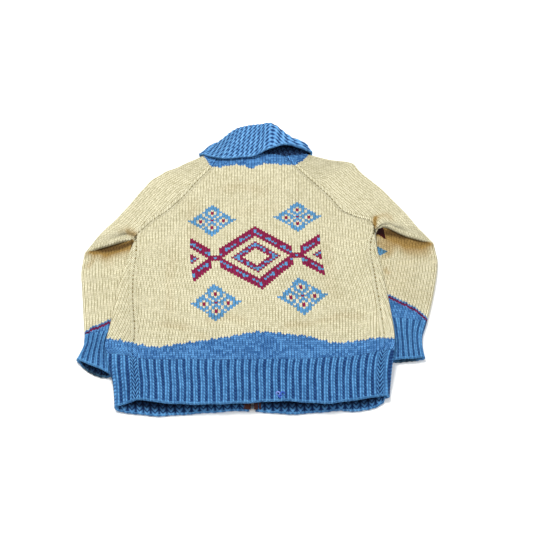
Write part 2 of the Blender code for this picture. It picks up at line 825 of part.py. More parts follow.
def make_collar(back, fronts, sleeves, material):
    points, normals = neck_ring(back, fronts, sleeves)
    along = np.concatenate([[0], np.cumsum(np.linalg.norm(np.diff(points, axis=0), axis=1))])

    def neck(at):
        spot = np.array([np.interp(at, along, points[:, k]) for k in range(3)])
        out = np.array([np.interp(at, along, normals[:, k]) for k in range(3)])
        out[1] = 0.0
        return spot, out / np.linalg.norm(out)

    left_turn, right_turn = int(np.argmin(points[:, 0])), int(np.argmax(points[:, 0]))
    left_fold, right_fold = along[left_turn], along[right_turn]

    def facing(at, up):
        """The roll's way out, up behind the neck and down before it, and the stand's height above
        its middle. Both turn over at the sides.
        """
        side = -1.0 if at < (left_fold + right_fold) / 2 else 1.0
        inside = at - left_fold if side < 0 else right_fold - at
        angle = math.pi / 2 * float(np.clip(inside / STAND_TURN, -1, 1))
        sideways = np.array([up[1], -up[0], 0.0]) * side
        height = STAND_HALF_HEIGHT * math.sin(math.pi / 2 * float(np.clip(inside / STAND_ROUND, -1, 1)))
        return sideways * math.cos(angle) + np.array([0.0, 0.0, math.sin(angle)]), height

    edge_count = len(FRONT_SHARES) + ROLL_STEPS + 1
    before = [along[k] for k in range(0, edge_count - 1, 3)] + [along[edge_count - 1]]
    before += [along[k] for k in range(edge_count + 3, left_turn - 3, 3)]
    before += [along[left_turn + k] for k in (-3, -2, -1, 0, 1)]
    after = [along[right_turn + k] for k in (-1, 0, 1, 2, 3)]
    after += [along[k] for k in range(right_turn + 6, len(along) - edge_count - 2, 3)]
    after += [along[len(along) - edge_count]]
    after += [along[len(along) - 1 - k] for k in range(edge_count - 4, -1, -3)]
    across = np.linspace(along[left_turn + 2], along[right_turn - 2], COLLAR_RIBS * 3 + 1)
    positions = np.concatenate([before, across, after])
    first_rib = len(before)
    last_rib = first_rib + len(across)
    rows = [[] for _ in range(8)]
    root_normals = []
    for at in positions:
        root, out = neck(at)
        root_normals.append(out)
        if at < left_fold:
            table, share = COLLAR_FRONT_LEFT, 1 - at / left_fold
        elif at > right_fold:
            table, share = COLLAR_FRONT_RIGHT, (at - right_fold) / (along[-1] - right_fold)
        else:
            table, share = COLLAR_BACK, (at - left_fold) / (right_fold - left_fold)
        fold_x, fold_y, edge_x, edge_y, edge_z, radius = (read(table, share, k) for k in range(1, 7))
        up = np.array([fold_x - edge_x, fold_y - edge_y, 0.0])
        up /= np.linalg.norm(up)
        out, height = facing(at, up)
        fold = np.array([fold_x, fold_y, STAND_MIDDLE_Z + height])
        stand_end = fold - up * (radius + HALF_WALL)
        rows[0].append(root + np.array([0.0, STAND_GAP, 0.0]))
        rows[1].append(stand_end)
        for k, angle in enumerate((45, 90, 135, 180)):
            turn = math.radians(angle)
            rolled = out * radius * (1 - math.cos(turn)) + up * radius * math.sin(turn)
            rows[2 + k].append(stand_end + rolled)
        fall_start = rows[5][-1]
        edge = np.array([edge_x, edge_y, edge_z])
        rows[6].append((fall_start + edge) / 2 + out * 1.5 * max(0.0, out[2]))
        rows[7].append(edge)
    grid = np.array(rows)
    sheet = Sheet(grid, grid_normals(grid, [False] * len(rows)))
    middle = (first_rib + last_rib) // 2
    if sheet.normal[7, middle, 2] < 0:
        sheet.normal *= -1
    facing_sign = np.sign(np.dot(sheet.normal[0, middle], root_normals[middle]))
    sheet.normal[0] = np.array(root_normals) * facing_sign
    rises = np.array([(0.0, 1.0, 1.0)[i % 3] for i in range(len(across))])
    for row, level in ((3, 0.5), (4, 1.0), (5, 1.0), (6, 1.0), (7, 1.0)):
        sheet.rise[row, first_rib:last_rib] = rises * RIB_RISE * level
    sheet.add("collar", material)


def underside(sheets, y):
    """Height of the zip edges of these fronts above the surface, the higher one."""
    return max(np.interp(y, sheet.outer()[:, 0, 1], sheet.outer()[:, 0, 2]) for sheet in sheets)


def strip(name, x_range, y_range, z_range, sheets, material):
    """A bar of even section that follows the zip edges of these fronts."""
    low, high = max(y_range[0], LAPEL_START), y_range[1]
    turns = sorted({float(y) for sheet in sheets for y in sheet.middle[:, 0, 1] if low < y < high})
    y_values = [y_range[0], *turns, y_range[1]]
    outer, inner = [], []
    for y in y_values:
        base = underside(sheets, y)
        outer.append([(x, y, base + z_range[1]) for x in x_range])
        inner.append([(x, y, base + z_range[0]) for x in x_range])
    outer, inner = np.array(outer, float), np.array(inner, float)
    faces = quads(len(y_values), len(x_range), lambda r, c: r * len(x_range) + c)
    return add_wall(name, outer.reshape(-1, 3), inner.reshape(-1, 3), faces, material)


LAPEL_START = 120.0  # below this height the zip edges lie flat
TAPE_WIDTH = 14.0
TAPE_THICKNESS = 0.9
CHAIN_HALF = 3.0
CHAIN_RANGE = (3.9, 6.7)  # heights above the underside of the fronts
TAPE_START = WALL + SEAM_GAP
BOX_LENGTH = 9.0
SLIDER_LENGTH = 11.0
SLIDER_HALF = 4.5
PLATE = 1.5
NOSE_HALF = 1.5
BRIDGE_FROM_TAIL = 4.5  # the pull's axle, from the slider's lower end
BRIDGE_HALF = 2.3
BRIDGE_BAR = 0.9
PULL_SLOT = 1.7  # room between the slider's plate and its bridge
FORK_WIDTH = 1.2
FORK_LENGTH = 6.0
PULL_LENGTH = 24.0
PULL_HALF = 2.6
PULL_THICKNESS = 1.0


def box_points(x0, x1, y0, y1, z0, z1):
    return [(x, y, z) for z in (z0, z1) for y in (y0, y1) for x in (x0, x1)]


BOX_FACES = ((0, 2, 3, 1), (4, 5, 7, 6), (0, 1, 5, 4), (1, 3, 7, 5), (3, 2, 6, 7), (2, 0, 4, 6))


def add_union(name, boxes, material):
    """Boxes that overlap, joined into one body."""
    first = add_mesh(name, box_points(*boxes[0]), BOX_FACES, material)
    for i, box in enumerate(boxes[1:]):
        other = add_mesh(f"{name}_part{i}", box_points(*box), BOX_FACES, material)
        other.hide_render = True
        other.display_type = "WIRE"
        join = first.modifiers.new(f"join{i}", "BOOLEAN")
        join.operation = "UNION"
        join.object = other
    return first


def make_zip(fronts, tape_material, metal):
    hem = read(HEM_FRONT, 0.0) + 1.5
    top = FRONT_NECK_Y - 4
    reach = CHAIN_HALF + SEAM_GAP
    outer = reach + TAPE_WIDTH
    tape = (TAPE_START, TAPE_START + TAPE_THICKNESS)
    both = (fronts["left"], fronts["right"])
    strip("zip_tape_left", (-outer, -reach), (hem, top), tape, both[:1], tape_material)
    strip("zip_tape_right", (reach, outer), (hem, top), tape, both[1:], tape_material)
    chain_end = top - 8
    teeth_start = hem + BOX_LENGTH + SEAM_GAP
    strip("zip_teeth", (-CHAIN_HALF, CHAIN_HALF), (teeth_start, chain_end), CHAIN_RANGE, both, metal)
    strip("zip_box", (-CHAIN_HALF, CHAIN_HALF), (hem, hem + BOX_LENGTH), CHAIN_RANGE, both, metal)
    base = underside(both, chain_end)
    low, high = base + CHAIN_RANGE[0], base + CHAIN_RANGE[1]
    nose = chain_end + SEAM_GAP
    start = nose + PLATE - SLIDER_LENGTH
    bridge_y = start + BRIDGE_FROM_TAIL
    under = low - SEAM_GAP - PLATE
    bar_end = under - PULL_SLOT - BRIDGE_BAR
    bridge = (bridge_y - BRIDGE_HALF, bridge_y + BRIDGE_HALF)
    joined = 0.5  # how far the slider's parts reach into each other
    add_union(
        "zip_slider",
        [
            (-SLIDER_HALF, SLIDER_HALF, start, nose + PLATE, under, under + PLATE),
            (-CHAIN_HALF, CHAIN_HALF, start, nose + PLATE, high + SEAM_GAP, high + SEAM_GAP + PLATE),
            (-NOSE_HALF, NOSE_HALF, nose, nose + PLATE, under + joined, high + SEAM_GAP + joined),
            (-1.0, 1.0, bridge[0], bridge[0] + 1.0, bar_end, under + joined),
            (-1.0, 1.0, bridge[1] - 1.0, bridge[1], bar_end, under + joined),
            (-1.0, 1.0, bridge[0], bridge[1], bar_end, under - PULL_SLOT),
        ],
        metal,
    )
    axle = under - PULL_SLOT / 2
    fork = PULL_HALF - FORK_WIDTH
    tongue_end = bridge_y - FORK_LENGTH + 1
    half = PULL_THICKNESS / 2
    add_union(
        "zip_pull",
        [
            (-PULL_HALF, PULL_HALF, bridge_y - half, bridge_y + half, axle - half, axle + half),
            (-PULL_HALF, -fork, bridge_y - FORK_LENGTH, bridge_y + half, axle - half, axle + half),
            (fork, PULL_HALF, bridge_y - FORK_LENGTH, bridge_y + half, axle - half, axle + half),
            (-PULL_HALF, PULL_HALF, bridge_y - PULL_LENGTH, tongue_end, axle - half, axle + half),
        ],
        metal,
    )
    return bridge_y, axle


def make_material(name, colour, roughness, metallic=0.0):
    material = bpy.data.materials.new(name)
    material.use_nodes = True
    shader = material.node_tree.nodes["Principled BSDF"]
    shader.inputs["Base Color"].default_value = (*colour, 1.0)
    shader.inputs["Roughness"].default_value = roughness
    shader.inputs["Metallic"].default_value = metallic
    return material


def clear_scene():
    for obj in list(bpy.data.objects):
        bpy.data.objects.remove(obj)


def centre_on_surface():
    """Moves every mesh so that the object's box is centred on x and y and stands on z = 0."""
    meshes = [obj.data for obj in bpy.data.objects]
    corners = []
    for mesh in meshes:
        points = np.empty(len(mesh.vertices) * 3)
        mesh.vertices.foreach_get("co", points)
        corners.append(points.reshape(-1, 3))
    points = np.concatenate(corners)
    low, high = points.min(axis=0), points.max(axis=0)
    move = np.array([-(low[0] + high[0]) / 2, -(low[1] + high[1]) / 2, -low[2]])
    for mesh, own in zip(meshes, corners):
        mesh.vertices.foreach_set("co", (own + move).ravel())
        mesh.update()
    return move


def main():
    clear_scene()
    cream = make_material("cream_wool", (0.78, 0.70, 0.50), 0.9)
    blue = make_material("blue_wool", (0.10, 0.25, 0.52), 0.9)
    tape = make_material("brown_zip_tape", (0.16, 0.07, 0.06), 0.8)
    metal = make_material("zip_metal", (0.70, 0.68, 0.64), 0.35, 1.0)
    back = make_back(cream)
    fronts, sleeves = {}, {}
    for side in ("left", "right"):
        fronts[side] = make_front(side, cream)
        sleeves[side] = make_sleeve(side, back, fronts[side], cream)
        make_front_welt(side, blue)
        make_cuff(side, blue)
    make_back_welt(blue)
    make_collar(back, fronts, sleeves, blue)
    make_zip(fronts, tape, metal)
    centre_on_surface()


main()
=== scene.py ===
"""Looks of the shawl-collared raglan cardigan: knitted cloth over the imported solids.

Tables and surfaces are in millimetres, in the garment's own plan frame: x across the back from its centre
line, y from hem to neck, z up from the surface. They follow the solids' own, and leave them by a few
millimetres where an edge or a rib is drawn more finely here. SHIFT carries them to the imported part. Every
panel is a wall between two dense sheets with its knitting as stitch coordinates, in the UV map "stitch":
one unit is one stitch across and one row up.
"""

import math
from functools import lru_cache, partial

import bpy
import numpy as np
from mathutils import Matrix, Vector


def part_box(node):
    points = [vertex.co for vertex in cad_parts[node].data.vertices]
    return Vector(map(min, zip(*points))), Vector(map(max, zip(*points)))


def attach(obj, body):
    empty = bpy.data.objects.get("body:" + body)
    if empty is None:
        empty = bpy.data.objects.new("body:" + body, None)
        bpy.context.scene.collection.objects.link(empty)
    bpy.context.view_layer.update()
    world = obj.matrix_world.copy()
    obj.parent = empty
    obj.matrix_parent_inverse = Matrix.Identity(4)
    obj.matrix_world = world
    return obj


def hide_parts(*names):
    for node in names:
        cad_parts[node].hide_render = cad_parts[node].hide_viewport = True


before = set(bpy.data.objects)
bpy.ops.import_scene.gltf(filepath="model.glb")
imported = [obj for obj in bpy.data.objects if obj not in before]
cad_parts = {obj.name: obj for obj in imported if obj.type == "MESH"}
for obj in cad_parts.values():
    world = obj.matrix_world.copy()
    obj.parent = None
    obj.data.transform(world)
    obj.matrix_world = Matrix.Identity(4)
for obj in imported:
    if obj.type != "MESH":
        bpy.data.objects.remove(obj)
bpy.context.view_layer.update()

MM = 0.001
WALL = 4.5  # knitted cloth
HALF_WALL = WALL / 2
STITCH = 6.43  # width of one stitch
ROW = 5.0  # height of one row of stitches
RIB_ROW = 7.4  # height of one row in the ribs
RIB_RISE = 2.9  # how far a knit rib stands above the purl between two ribs
HEM_RIBS = 34  # across the back
COLLAR_RIBS = 20  # across the back of the neck
CUFF_RIBS = 14  # all round
FRONT_RIB = 16.0  # width of one rib of the fronts' hems
COLLAR_FRONT_RIB = 13.0  # and of the collar beside the fronts
SMOOTH_LEG = 0.22  # where the two legs of a rib lie, as shares of its width
KNOTTY_LEG = 0.60
ARM_HEIGHT = 12.5  # flattened sleeve: two walls and the air between them
ARMPIT_EXTRA = 1.5  # extra height of the arm just below the armpit
ARMPIT_LEVEL = 70.0  # the side levels are keyed to this height, the mean of both armpits
ZIP_SLOT = 7.0  # from the centre line to each front edge
FRONT_NECK_Y = 222.0  # top of the zip
SIDE_HALF_X = 270.0  # about where both sides are, the start of the search for a seam
BODY_ROUND = 80.0  # width over which the back sinks from its side height to its middle height
BODY_ROUND_START = 9.0
SIDE_LIFT_WIDTH = 30.0  # width over which the fronts sink to the surface beside the sleeve
SIDE_LIFT_START = 3.0
LAPEL_LIFT = 7.2  # the fronts rise this far where the collar's fall lies under them
LAPEL_TOP_Y = 283.0  # that fall's line at the sides, its depth and its half width
LAPEL_DEPTH = 98.0
LAPEL_HALF_WIDTH = 125.0
LAPEL_RAMP_START = 30.0  # the fronts start to rise this far below that line,
LAPEL_RAMP = 24.0  # and are up within this distance
NECK_BOW = 7.0  # how far the back's neck edge bows up in its middle
CAP_EDGE = 14.0  # width of the finer strip beside the raglan seam
CAP_CROWN = 4.0  # the upper arm's roundness at the armpit
CAP_FINE_START = 0.82  # above the armpit the columns draw together from here to the raglan seam
LIP_ROLL = 2.35  # radius of the fold over the lower arm
LIP_START, LIP_END = -13.0, 18.0  # how far the lip reaches up the arm and down
LIP_ROOM_ABOVE = 16.0  # with less cloth than this above the line, or below it, the steps draw together
LIP_ROOM_BELOW = 24.0
LIP_TURN = 10  # the ring over the lip from which it lies under the fold
STAND_MIDDLE_Z = 15.2  # the collar's stand is this high on both sides, plus or minus the next
STAND_HALF_HEIGHT = 5.8
STAND_TURN = 22.0  # the stand turns over within this distance of each side of the neck
STAND_ROUND = 14.0  # and reaches its full height within this one
CUFF_OVERHANG = {"left": 13.0, "right": 2.0}  # how far a cuff's lower half shows below the upper
SEAM_DEPTH = 1.5  # how far a seam pulls the cloth down, and half how wide
SEAM_HALF_WIDTH = 3.2
TROUGH_SHADE = 0.13  # painted warm shade to a millimetre of the back's troughs, and the most of it
DEEPEST_TROUGH = 0.3
CAP_FROM_Y = 100.0  # the sleeves have the yoke's colour edge above this height and the cuffs' below
NO_LINE = 50.0  # rows: so far from a colour edge there is no line along it
CREASE_FADE = 30.0  # the back's creases fade within this distance of a seam, the sleeves' within the next
SLEEVE_CREASE_FADE = 25.0
INNER_RIB_RISE = 1.4  # how far the hems' and cuffs' ribs rise on the wrong side
ROPE_RISE = 1.4  # and the collar's on its outer face and its inner one
INNER_ROPE_RISE = 0.8
RIB_START = 12.0  # ribs rise within this distance of the panel above them, and sink at their free edge
RIB_END = 7.0
ROPE_START = 14.0
CORD_RISE = 1.5  # the firm cord of a bound-off edge, 1 mm in from it
CORD_HALF_WIDTH = 2.2
EDGE_SWING = 6.0  # the edge's swing in and out dies away over this distance above it
CORD = 1.6  # how far the rim of a bound-off edge bulges, of the collar's ends, and of any other edge
COLLAR_END = 1.2
RIM = 0.3
FAR = 99.0  # where there is no edge or seam to be near to

# Rows and columns of points in each sheet
SLOPE_STEP = 1.5  # a surface's slope is taken over this distance, to both sides
LINE_STEPS = 400
BODY_STEPS = 76
RAGLAN_STEPS = 60
WELT_STEPS = 36
CUFF_STEPS = 40
BACK_COLUMNS = 151
RIB_COLUMNS = 10  # to a rib
FLAT_END = 0.985  # the fronts' flat part stops a little before the side roll
FRONT_COLUMNS = (70, 26)  # on the flat part, and round the side
FRONT_WELT_COLUMNS = (175, 46)
SLEEVE_COLUMNS = (7, 48, 34)  # round an edge, across the top, across the underside
CUFF_COLUMNS = (7, 84, 84)
TOP_COLUMN = 12  # a column that lies on the top of every sleeve and cuff
SLEEVE_TOP = 2 * SLEEVE_COLUMNS[0] + SLEEVE_COLUMNS[1]  # columns over a sleeve's top, with both edges
SLEEVE_FLAT = slice(10, 50)  # those between the edges, which tell how long the sleeve is
COLLAR_FRONT_COLUMNS = 90  # beside each front
COLLAR_MIDDLE = 40  # columns to both sides of the collar's middle, which tell how long it is
SLEEVE_SPACING = 3.2  # between rows
COLLAR_SPACING = 3.0

# Columns: y, left side x, right side x
BODY_SIDES = (
    (-372, -272, 271),
    (-310, -282, 276),
    (-266, -294, 283),
    (-232, -304, 292),
    (-205, -301, 293),
    (-150, -295, 290),
    (-65, -287, 281),
    (30, -268, 271),
    (60, -263, 271),
    (80, -263, 271),
)
# Columns: y from the armpit's level, outer top, underside at the body's side edge
SIDE_LEVELS = (
    (-372, 16, 0),
    (-335, 19, 4),
    (-306, 26, 14),
    (-285, 30, 17.5),
    (-266, 31, 18),
    (-190, 30.5, 18),
    (-150, 29, 16),
    (-60, 27, 14),
    (0, 26.5, 14),
    (34, 26, 13.6),
    (54, 20, 5),
    (70, 17.5, 0),
    (130, 17, 0),
    (220, 18.5, 0),
    (310, 20.5, 0),
)
# Columns: y, outer top of the back along its middle
MIDDLE_LEVELS = (
    (-372, 27),
    (-300, 23),
    (-240, 17),
    (-180, 13.8),
    (-60, 12.8),
    (100, 13.4),
    (150, 15.5),
    (190, 20.5),
    (225, 21.5),
    (310, 21.5),
)
# Columns: y from the armpit's level, how far the sleeve lies under the body
TUCKS = (
    (-320, 2), (-290, 4), (-266, 8), (-190, 14), (-150, 20), (-60, 26), (-10, 14), (26, -0.8), (80, -0.8),
)
# Columns: y, distance of the side seam from the middle of the side roll, measured over the cloth
LEFT_SEAM = ((-372, 43), (-289, 48), (-224, 56), (-121, 37), (-50, 25), (10, 14), (60, 0))
RIGHT_SEAM = ((-372, 19), (-224, 22), (-50, 18), (30, 13), (80, 0))
# Columns: x, y, from the armpit up to the neck
LEFT_RAGLAN = ((-263, 60), (-230, 100), (-200, 126), (-163, 169), (-131, 217), (-102, 254), (-84, 290))
RIGHT_RAGLAN = ((271, 80), (263, 100), (237, 109), (204, 126), (171, 172), (127, 223), (92, 264), (73, 290))
# Columns: x, y, outer edge of the sleeve from the armpit's row up to the neck
LEFT_SHOULDER = (
    (-318, 102), (-295, 137), (-260, 195), (-238, 227), (-223, 239), (-209, 251), (-188, 259), (-144, 279),
    (-120, 293),
)
RIGHT_SHOULDER = ((343, 131), (318, 166), (296, 197), (255, 242), (233, 270), (179, 279), (126, 295))
# Columns: y at the underarm, outer x, outer y, crown above the edges, upward bow near the body
LEFT_ARM = (
    (56, -341, 73, 8, 4),
    (50, -374, 14, 6.5, 3),
    (14, -376, -26, -2.5, 0),
    (-15, -375, -45, 1, 0),
    (-65, -370, -78, 1.5, 0),
    (-115, -363, -125, 1, 0),
    (-155, -357, -165, 0.5, 0),
    (-183, -352, -196, 0, 0),
)
RIGHT_ARM = (
    (72, 371, 82, 7, 16),
    (64, 400, 40, 6.5, 26),
    (30, 404, -5, -3, 10),
    (0, 400, -35, 1, 0),
    (-45, 391, -75, 1.5, 0),
    (-90, 382, -110, 1, 0),
    (-125, 374, -137, 0.5, 0),
    (-152, 366, -163, 0, 0),
)
LIP_ROW = 1  # the row of those tables where the upper arm ends in a lip above the lower one
# Columns: y at the underarm, outer x, outer y, height at the edges, crown above them
LEFT_CUFF = (
    (-183, -352, -196, 12.5, 0),
    (-215, -350, -222, 14, 1),
    (-255, -356, -243, 15, 1.5),
    (-293, -361, -256, 16, 3),
)
RIGHT_CUFF = (
    (-152, 366, -163, 12.5, 0),
    (-190, 353, -195, 14, 1),
    (-225, 350, -223, 14, 1.5),
    (-257, 353, -250, 13, 0.5),
)
# Columns: x, y
RIB_TOP = ((-304, -243), (-271, -252), (-107, -260), (0, -260), (157, -255), (260, -246), (293, -240))
HEM_BACK = (
    (-272, -368), (-258, -361), (-234, -352), (-188, -359), (-16, -361), (57, -356), (153, -361), (271, -338),
)
HEM_FRONT = (
    (-272, -368), (-190, -378), (-112, -373), (-13, -367), (75, -374), (175, -367), (214, -367), (248, -358),
    (263, -347), (271, -338),
)
# Columns: share of the way across the back, fold x, fold y, free edge x, y and z, roll radius
COLLAR_BACK = (
    (0.00, -98, 308, -131, 299, 10, 3.5),
    (0.03, -94, 312, -128, 298, 14, 4),
    (0.06, -89, 317, -121, 295, 19, 4.5),
    (0.12, -77, 330, -108, 285, 24, 5.5),
    (0.28, -47, 360, -74, 277, 26, 8),
    (0.45, -18, 372, -30, 279, 26.5, 9),
    (0.60, 13, 377, 5, 285, 29, 9),
    (0.74, 43, 379, 38, 300, 36, 9),
    (0.86, 77, 347, 80, 308, 39, 7),
    (0.94, 98, 327, 122, 300, 28, 6),
    (0.97, 105, 319, 132, 301, 20, 5.5),
    (1.00, 110, 315, 135, 303, 12, 4.5),
)
# Columns: share of the way from the side to the centre front, the same values
COLLAR_FRONT_LEFT = (
    (0.00, -98, 308, -131, 299, 10, 3.5),
    (0.06, -96, 307, -129, 298, 6, 3.5),
    (0.20, -88, 305, -112, 272, 2.4, 3.4),
    (0.33, -76, 299, -92, 254, 2.4, 3.4),
    (0.60, -50, 276, -62, 222, 2.4, 3.4),
    (1.00, -10, 240, -10, 188, 2.4, 3.4),
)
COLLAR_FRONT_RIGHT = (
    (0.00, 110, 315, 135, 303, 12, 4.5),
    (0.06, 105, 311, 133, 300, 6, 4),
    (0.20, 92, 306, 116, 272, 2.4, 3.4),
    (0.36, 68, 301, 88, 254, 2.4, 3.4),
    (0.60, 46, 276, 58, 222, 2.4, 3.4),
    (1.00, 10, 240, 10, 188, 2.4, 3.4),
)

# ---- colour edges, in the plan frame ----
# Columns: x, y of the top of the blue band above the hem rib
BAND_TOP = (
    (-301, -219), (-275, -222), (-249, -224), (-192, -231), (-156, -224), (-105, -215), (-50, -205),
    (12, -193), (75, -200), (116, -205), (161, -219), (237, -215), (289, -219),
)
# Columns: x, y of the bottom of the blue yoke
YOKE_EDGE = (
    (-125, 300), (-115, 285), (-102, 263), (-90, 257), (-67, 260), (-46, 263), (-25, 260), (-7, 251),
    (13, 263), (36, 266), (69, 264), (100, 269), (113, 278), (124, 292), (134, 304),
)
# Columns: x, y of the top of the blue above each cuff
CUFF_EDGE = {
    "left": ((-380, -209), (-352, -193), (-339, -182), (-313, -169), (-290, -155)),
    "right": ((262, -83), (288, -98), (315, -114), (345, -134), (366, -156), (390, -176)),
}
# Columns: y, x of the wale through the middle of the pattern
WALE_CENTRE = ((-372, 12), (-250, 18), (-112, 23), (-88, 20), (-50, 12), (-4, 5.5), (84, 2), (300, 3))
# Columns: y, tilt of the rows there
ROW_TILT = ((-260, 0.0), (-190, 0.03), (-112, 0.069), (0, 0.044), (100, 0.036), (200, 0.012), (300, 0.0))
PATTERN_X = 5.0  # middle of the pattern, about which the rows tilt
PATTERN_Y = 1.2
# Columns: distance above the middle of the pattern, growth from there: the upper rows are closer together
CLOSER_ROWS = ((-500, 0), (30, 0), (90, 4.5), (500, 66))
# Columns: side, colour (1 maroon, -1 blue), x, y of three corners: what shows of the sleeve's own motifs
SLEEVE_TIPS = (
    ("right", 1, 262, 76, 289, 93, 294, 50),
    ("right", -1, 270, 33, 296, 17, 276, 4),
    ("right", -1, 276, -92, 296, -106, 278, -118),
)

# ---- large creases, as soft troughs and ridges along lines ----
# Columns: x and y at one end, x and y at the other end, half width, height (negative is a trough)
BACK_CREASES = (
    (-215, -190, -150, -205, 15, 1.6),
    (-190, -170, -100, -196, 12, -1.8),
    (-130, -186, -40, -172, 11, 2.2),
    (-95, -160, -15, -160, 12, -1.6),
    (-40, -178, 40, -165, 12, 1.3),
    (70, -178, 140, -166, 10, -1.6),
    (120, -185, 205, -190, 12, 1.8),
    (150, -160, 230, -150, 10, -1.3),
    (60, -150, 180, -128, 10, 1.0),
    (-60, 235, 60, 240, 16, 1.2),
    (-70, 195, 20, 188, 14, -1.2),
    (60, 190, 130, 170, 16, 1.0),
    (-150, 150, -120, 40, 18, -0.9),
    (190, 60, 215, -60, 15, 0.9),
    (160, 40, 170, -120, 18, -0.8),
    (-215, 20, -205, -150, 16, 1.2),
    (-180, 10, -185, -140, 14, -1.0),
    (-40, 130, 60, 135, 15, -0.6),
    (235, 40, 250, -150, 10, 0.8),
)
SLEEVE_CREASES = {
    "left": (
        (-266, 64, -257, 96, 6, -4.5),
        (-270, 120, -318, 80, 14, 1.6),
        (-255, 100, -280, 88, 10, -2.2),
        (-285, 150, -215, 140, 12, -1.2),
        (-240, 205, -165, 190, 16, 1.6),
        (-215, 240, -150, 245, 12, -1.2),
        (-345, -10, -330, -120, 14, 1.6),
        (-320, -20, -312, -130, 12, -1.4),
        (-360, -40, -352, -150, 10, -1.0),
    ),
    "right": (
        (273, 84, 280, 118, 5, -5.5),
        (292, 122, 350, 92, 15, 2.0),
        (300, 150, 235, 160, 14, -1.4),
        (250, 205, 180, 215, 16, 1.4),
        (300, 175, 345, 130, 14, -1.0),
        (345, 10, 330, -90, 15, 1.5),
        (378, -20, 352, -120, 12, -1.2),
        (318, 0, 305, -70, 10, -1.2),
    ),
}

# Painted warm shade on the upper and the lower sleeve beside its fold, in the creases' columns: strength last
SLEEVE_SHADES = {
    "left": (
        ((-260, 58, -284, 68, 6, 0.7), (-268, 74, -300, 66, 9, 0.25)),
        (
            (-258, 46, -345, 15, 7, 1.25),
            (-262, 33, -335, 8, 15, 0.9),
            (-352, 10, -360, -28, 7, 0.4),
            (-280, 10, -330, -10, 20, 0.2),
        ),
    ),
    "right": (
        ((268, 82, 277, 112, 5, 1.3), (282, 112, 312, 104, 9, 0.35)),
        (
            (268, 80, 335, 58, 9, 1.45),
            (272, 64, 385, 36, 18, 0.9),
            (275, 44, 300, 8, 20, 0.65),
            (330, 28, 385, 8, 16, 0.4),
            (284, -32, 296, -42, 6, 0.4),
            (335, 20, 330, -110, 60, 0.13),
        ),
    ),
}


def smooth(t):
    """From 0 to 1 with a soft start and end."""
    t = np.clip(t, 0.0, 1.0)
    return t * t * (3.0 - 2.0 * t)


def hermite(keys, values, slopes, at):
    """A smooth curve through values at uneven keys. A value may be an array of any shape."""
    i = np.clip(np.searchsorted(keys, at, side="right") - 1, 0, len(keys) - 2)
    span = keys[i + 1] - keys[i]
    t = (at - keys[i]) / span
    shape = t.shape + (1,) * (values.ndim - 1)
    t, span = t.reshape(shape), span.reshape(shape)
    return (
        values[i] * (1 + 2 * t) * (1 - t) ** 2
        + values[i + 1] * t * t * (3 - 2 * t)
        + span * (slopes[i] * t * (1 - t) ** 2 - slopes[i + 1] * t * t * (1 - t))
    )


def hermite_rows(values, keys, at):
    return hermite(keys, values, np.gradient(values, keys, axis=0), at)


@lru_cache(maxsize=None)
def curve(table, column):
    """A table's first column, another of its columns, and that one's slopes."""
    rows = np.array(sorted(table), float)
    return rows[:, 0], rows[:, column], np.gradient(rows[:, column], rows[:, 0])


def read(table, at, column=1):
    """A table's column at values of its first column, on a smooth curve through the rows."""
    keys, values, slopes = curve(table, column)
    return hermite(keys, values, slopes, np.clip(np.asarray(at, float), keys[0], keys[-1]))


def running(steps):
    """The steps' sum so far, from nought."""
    return np.concatenate([[0], np.cumsum(steps)])


def line_keys(points):
    """Distance of each point along the line through them."""
    return running(np.linalg.norm(np.diff(points, axis=0), axis=1))


def fine_keys(keys, spacing):
    """The keys with steps of about the spacing between them; every key is kept."""
    fine = []
    for a, b in zip(keys[:-1], keys[1:]):
        count = max(1, int(round((b - a) / spacing)))
        fine += list(a + (b - a) * np.arange(count) / count)
    return np.array(fine + [keys[-1]])


def along_line(points, keys, at):
    return np.stack([np.interp(at, keys, column) for column in points.T], axis=-1)


def curve_points(points, count):
    """count + 1 points at even distances along a half rounded line through the given points."""
    points = np.array(points, float)
    keys = line_keys(points)
    at = np.linspace(0, keys[-1], LINE_STEPS)
    line = 0.5 * (hermite_rows(points, keys, at) + along_line(points, keys, at))
    keys = line_keys(line)
    return along_line(line, keys, np.linspace(0, keys[-1], count + 1))


SIGN = {"left": -1.0, "right": 1.0}
RAGLAN = {
    "left": curve_points(LEFT_RAGLAN, RAGLAN_STEPS),
    "right": curve_points(RIGHT_RAGLAN, RAGLAN_STEPS),
}
SHOULDER = {
    "left": curve_points(LEFT_SHOULDER, RAGLAN_STEPS),
    "right": curve_points(RIGHT_SHOULDER, RAGLAN_STEPS),
}


def armpit_y(side):
    return RAGLAN[side][0, 1]


def level_key(side, y):
    return y + (ARMPIT_LEVEL - armpit_y(side))


def side_x(side, y):
    above = np.interp(y, RAGLAN[side][:, 1], RAGLAN[side][:, 0])
    return np.where(np.asarray(y) > armpit_y(side), above, read(BODY_SIDES, y, 1 if side == "left" else 2))


def plan(x, y):
    return np.broadcast_arrays(np.asarray(x, float), np.asarray(y, float))


def top_level(x, y):
    """Height of the cloth's top over the back: round towards both sides."""
    x, y = plan(x, y)
    at_sides = [read(SIDE_LEVELS, level_key(side, y)) for side in SIGN]
    insides = [SIGN[side] * (side_x(side, y) - x) for side in SIGN]
    at_side, inside = np.where(x < 0, *at_sides), np.where(x < 0, *insides)
    in_middle = read(MIDDLE_LEVELS, y)
    return in_middle + (at_side - in_middle) * smooth(1 - (inside - BODY_ROUND_START) / BODY_ROUND)


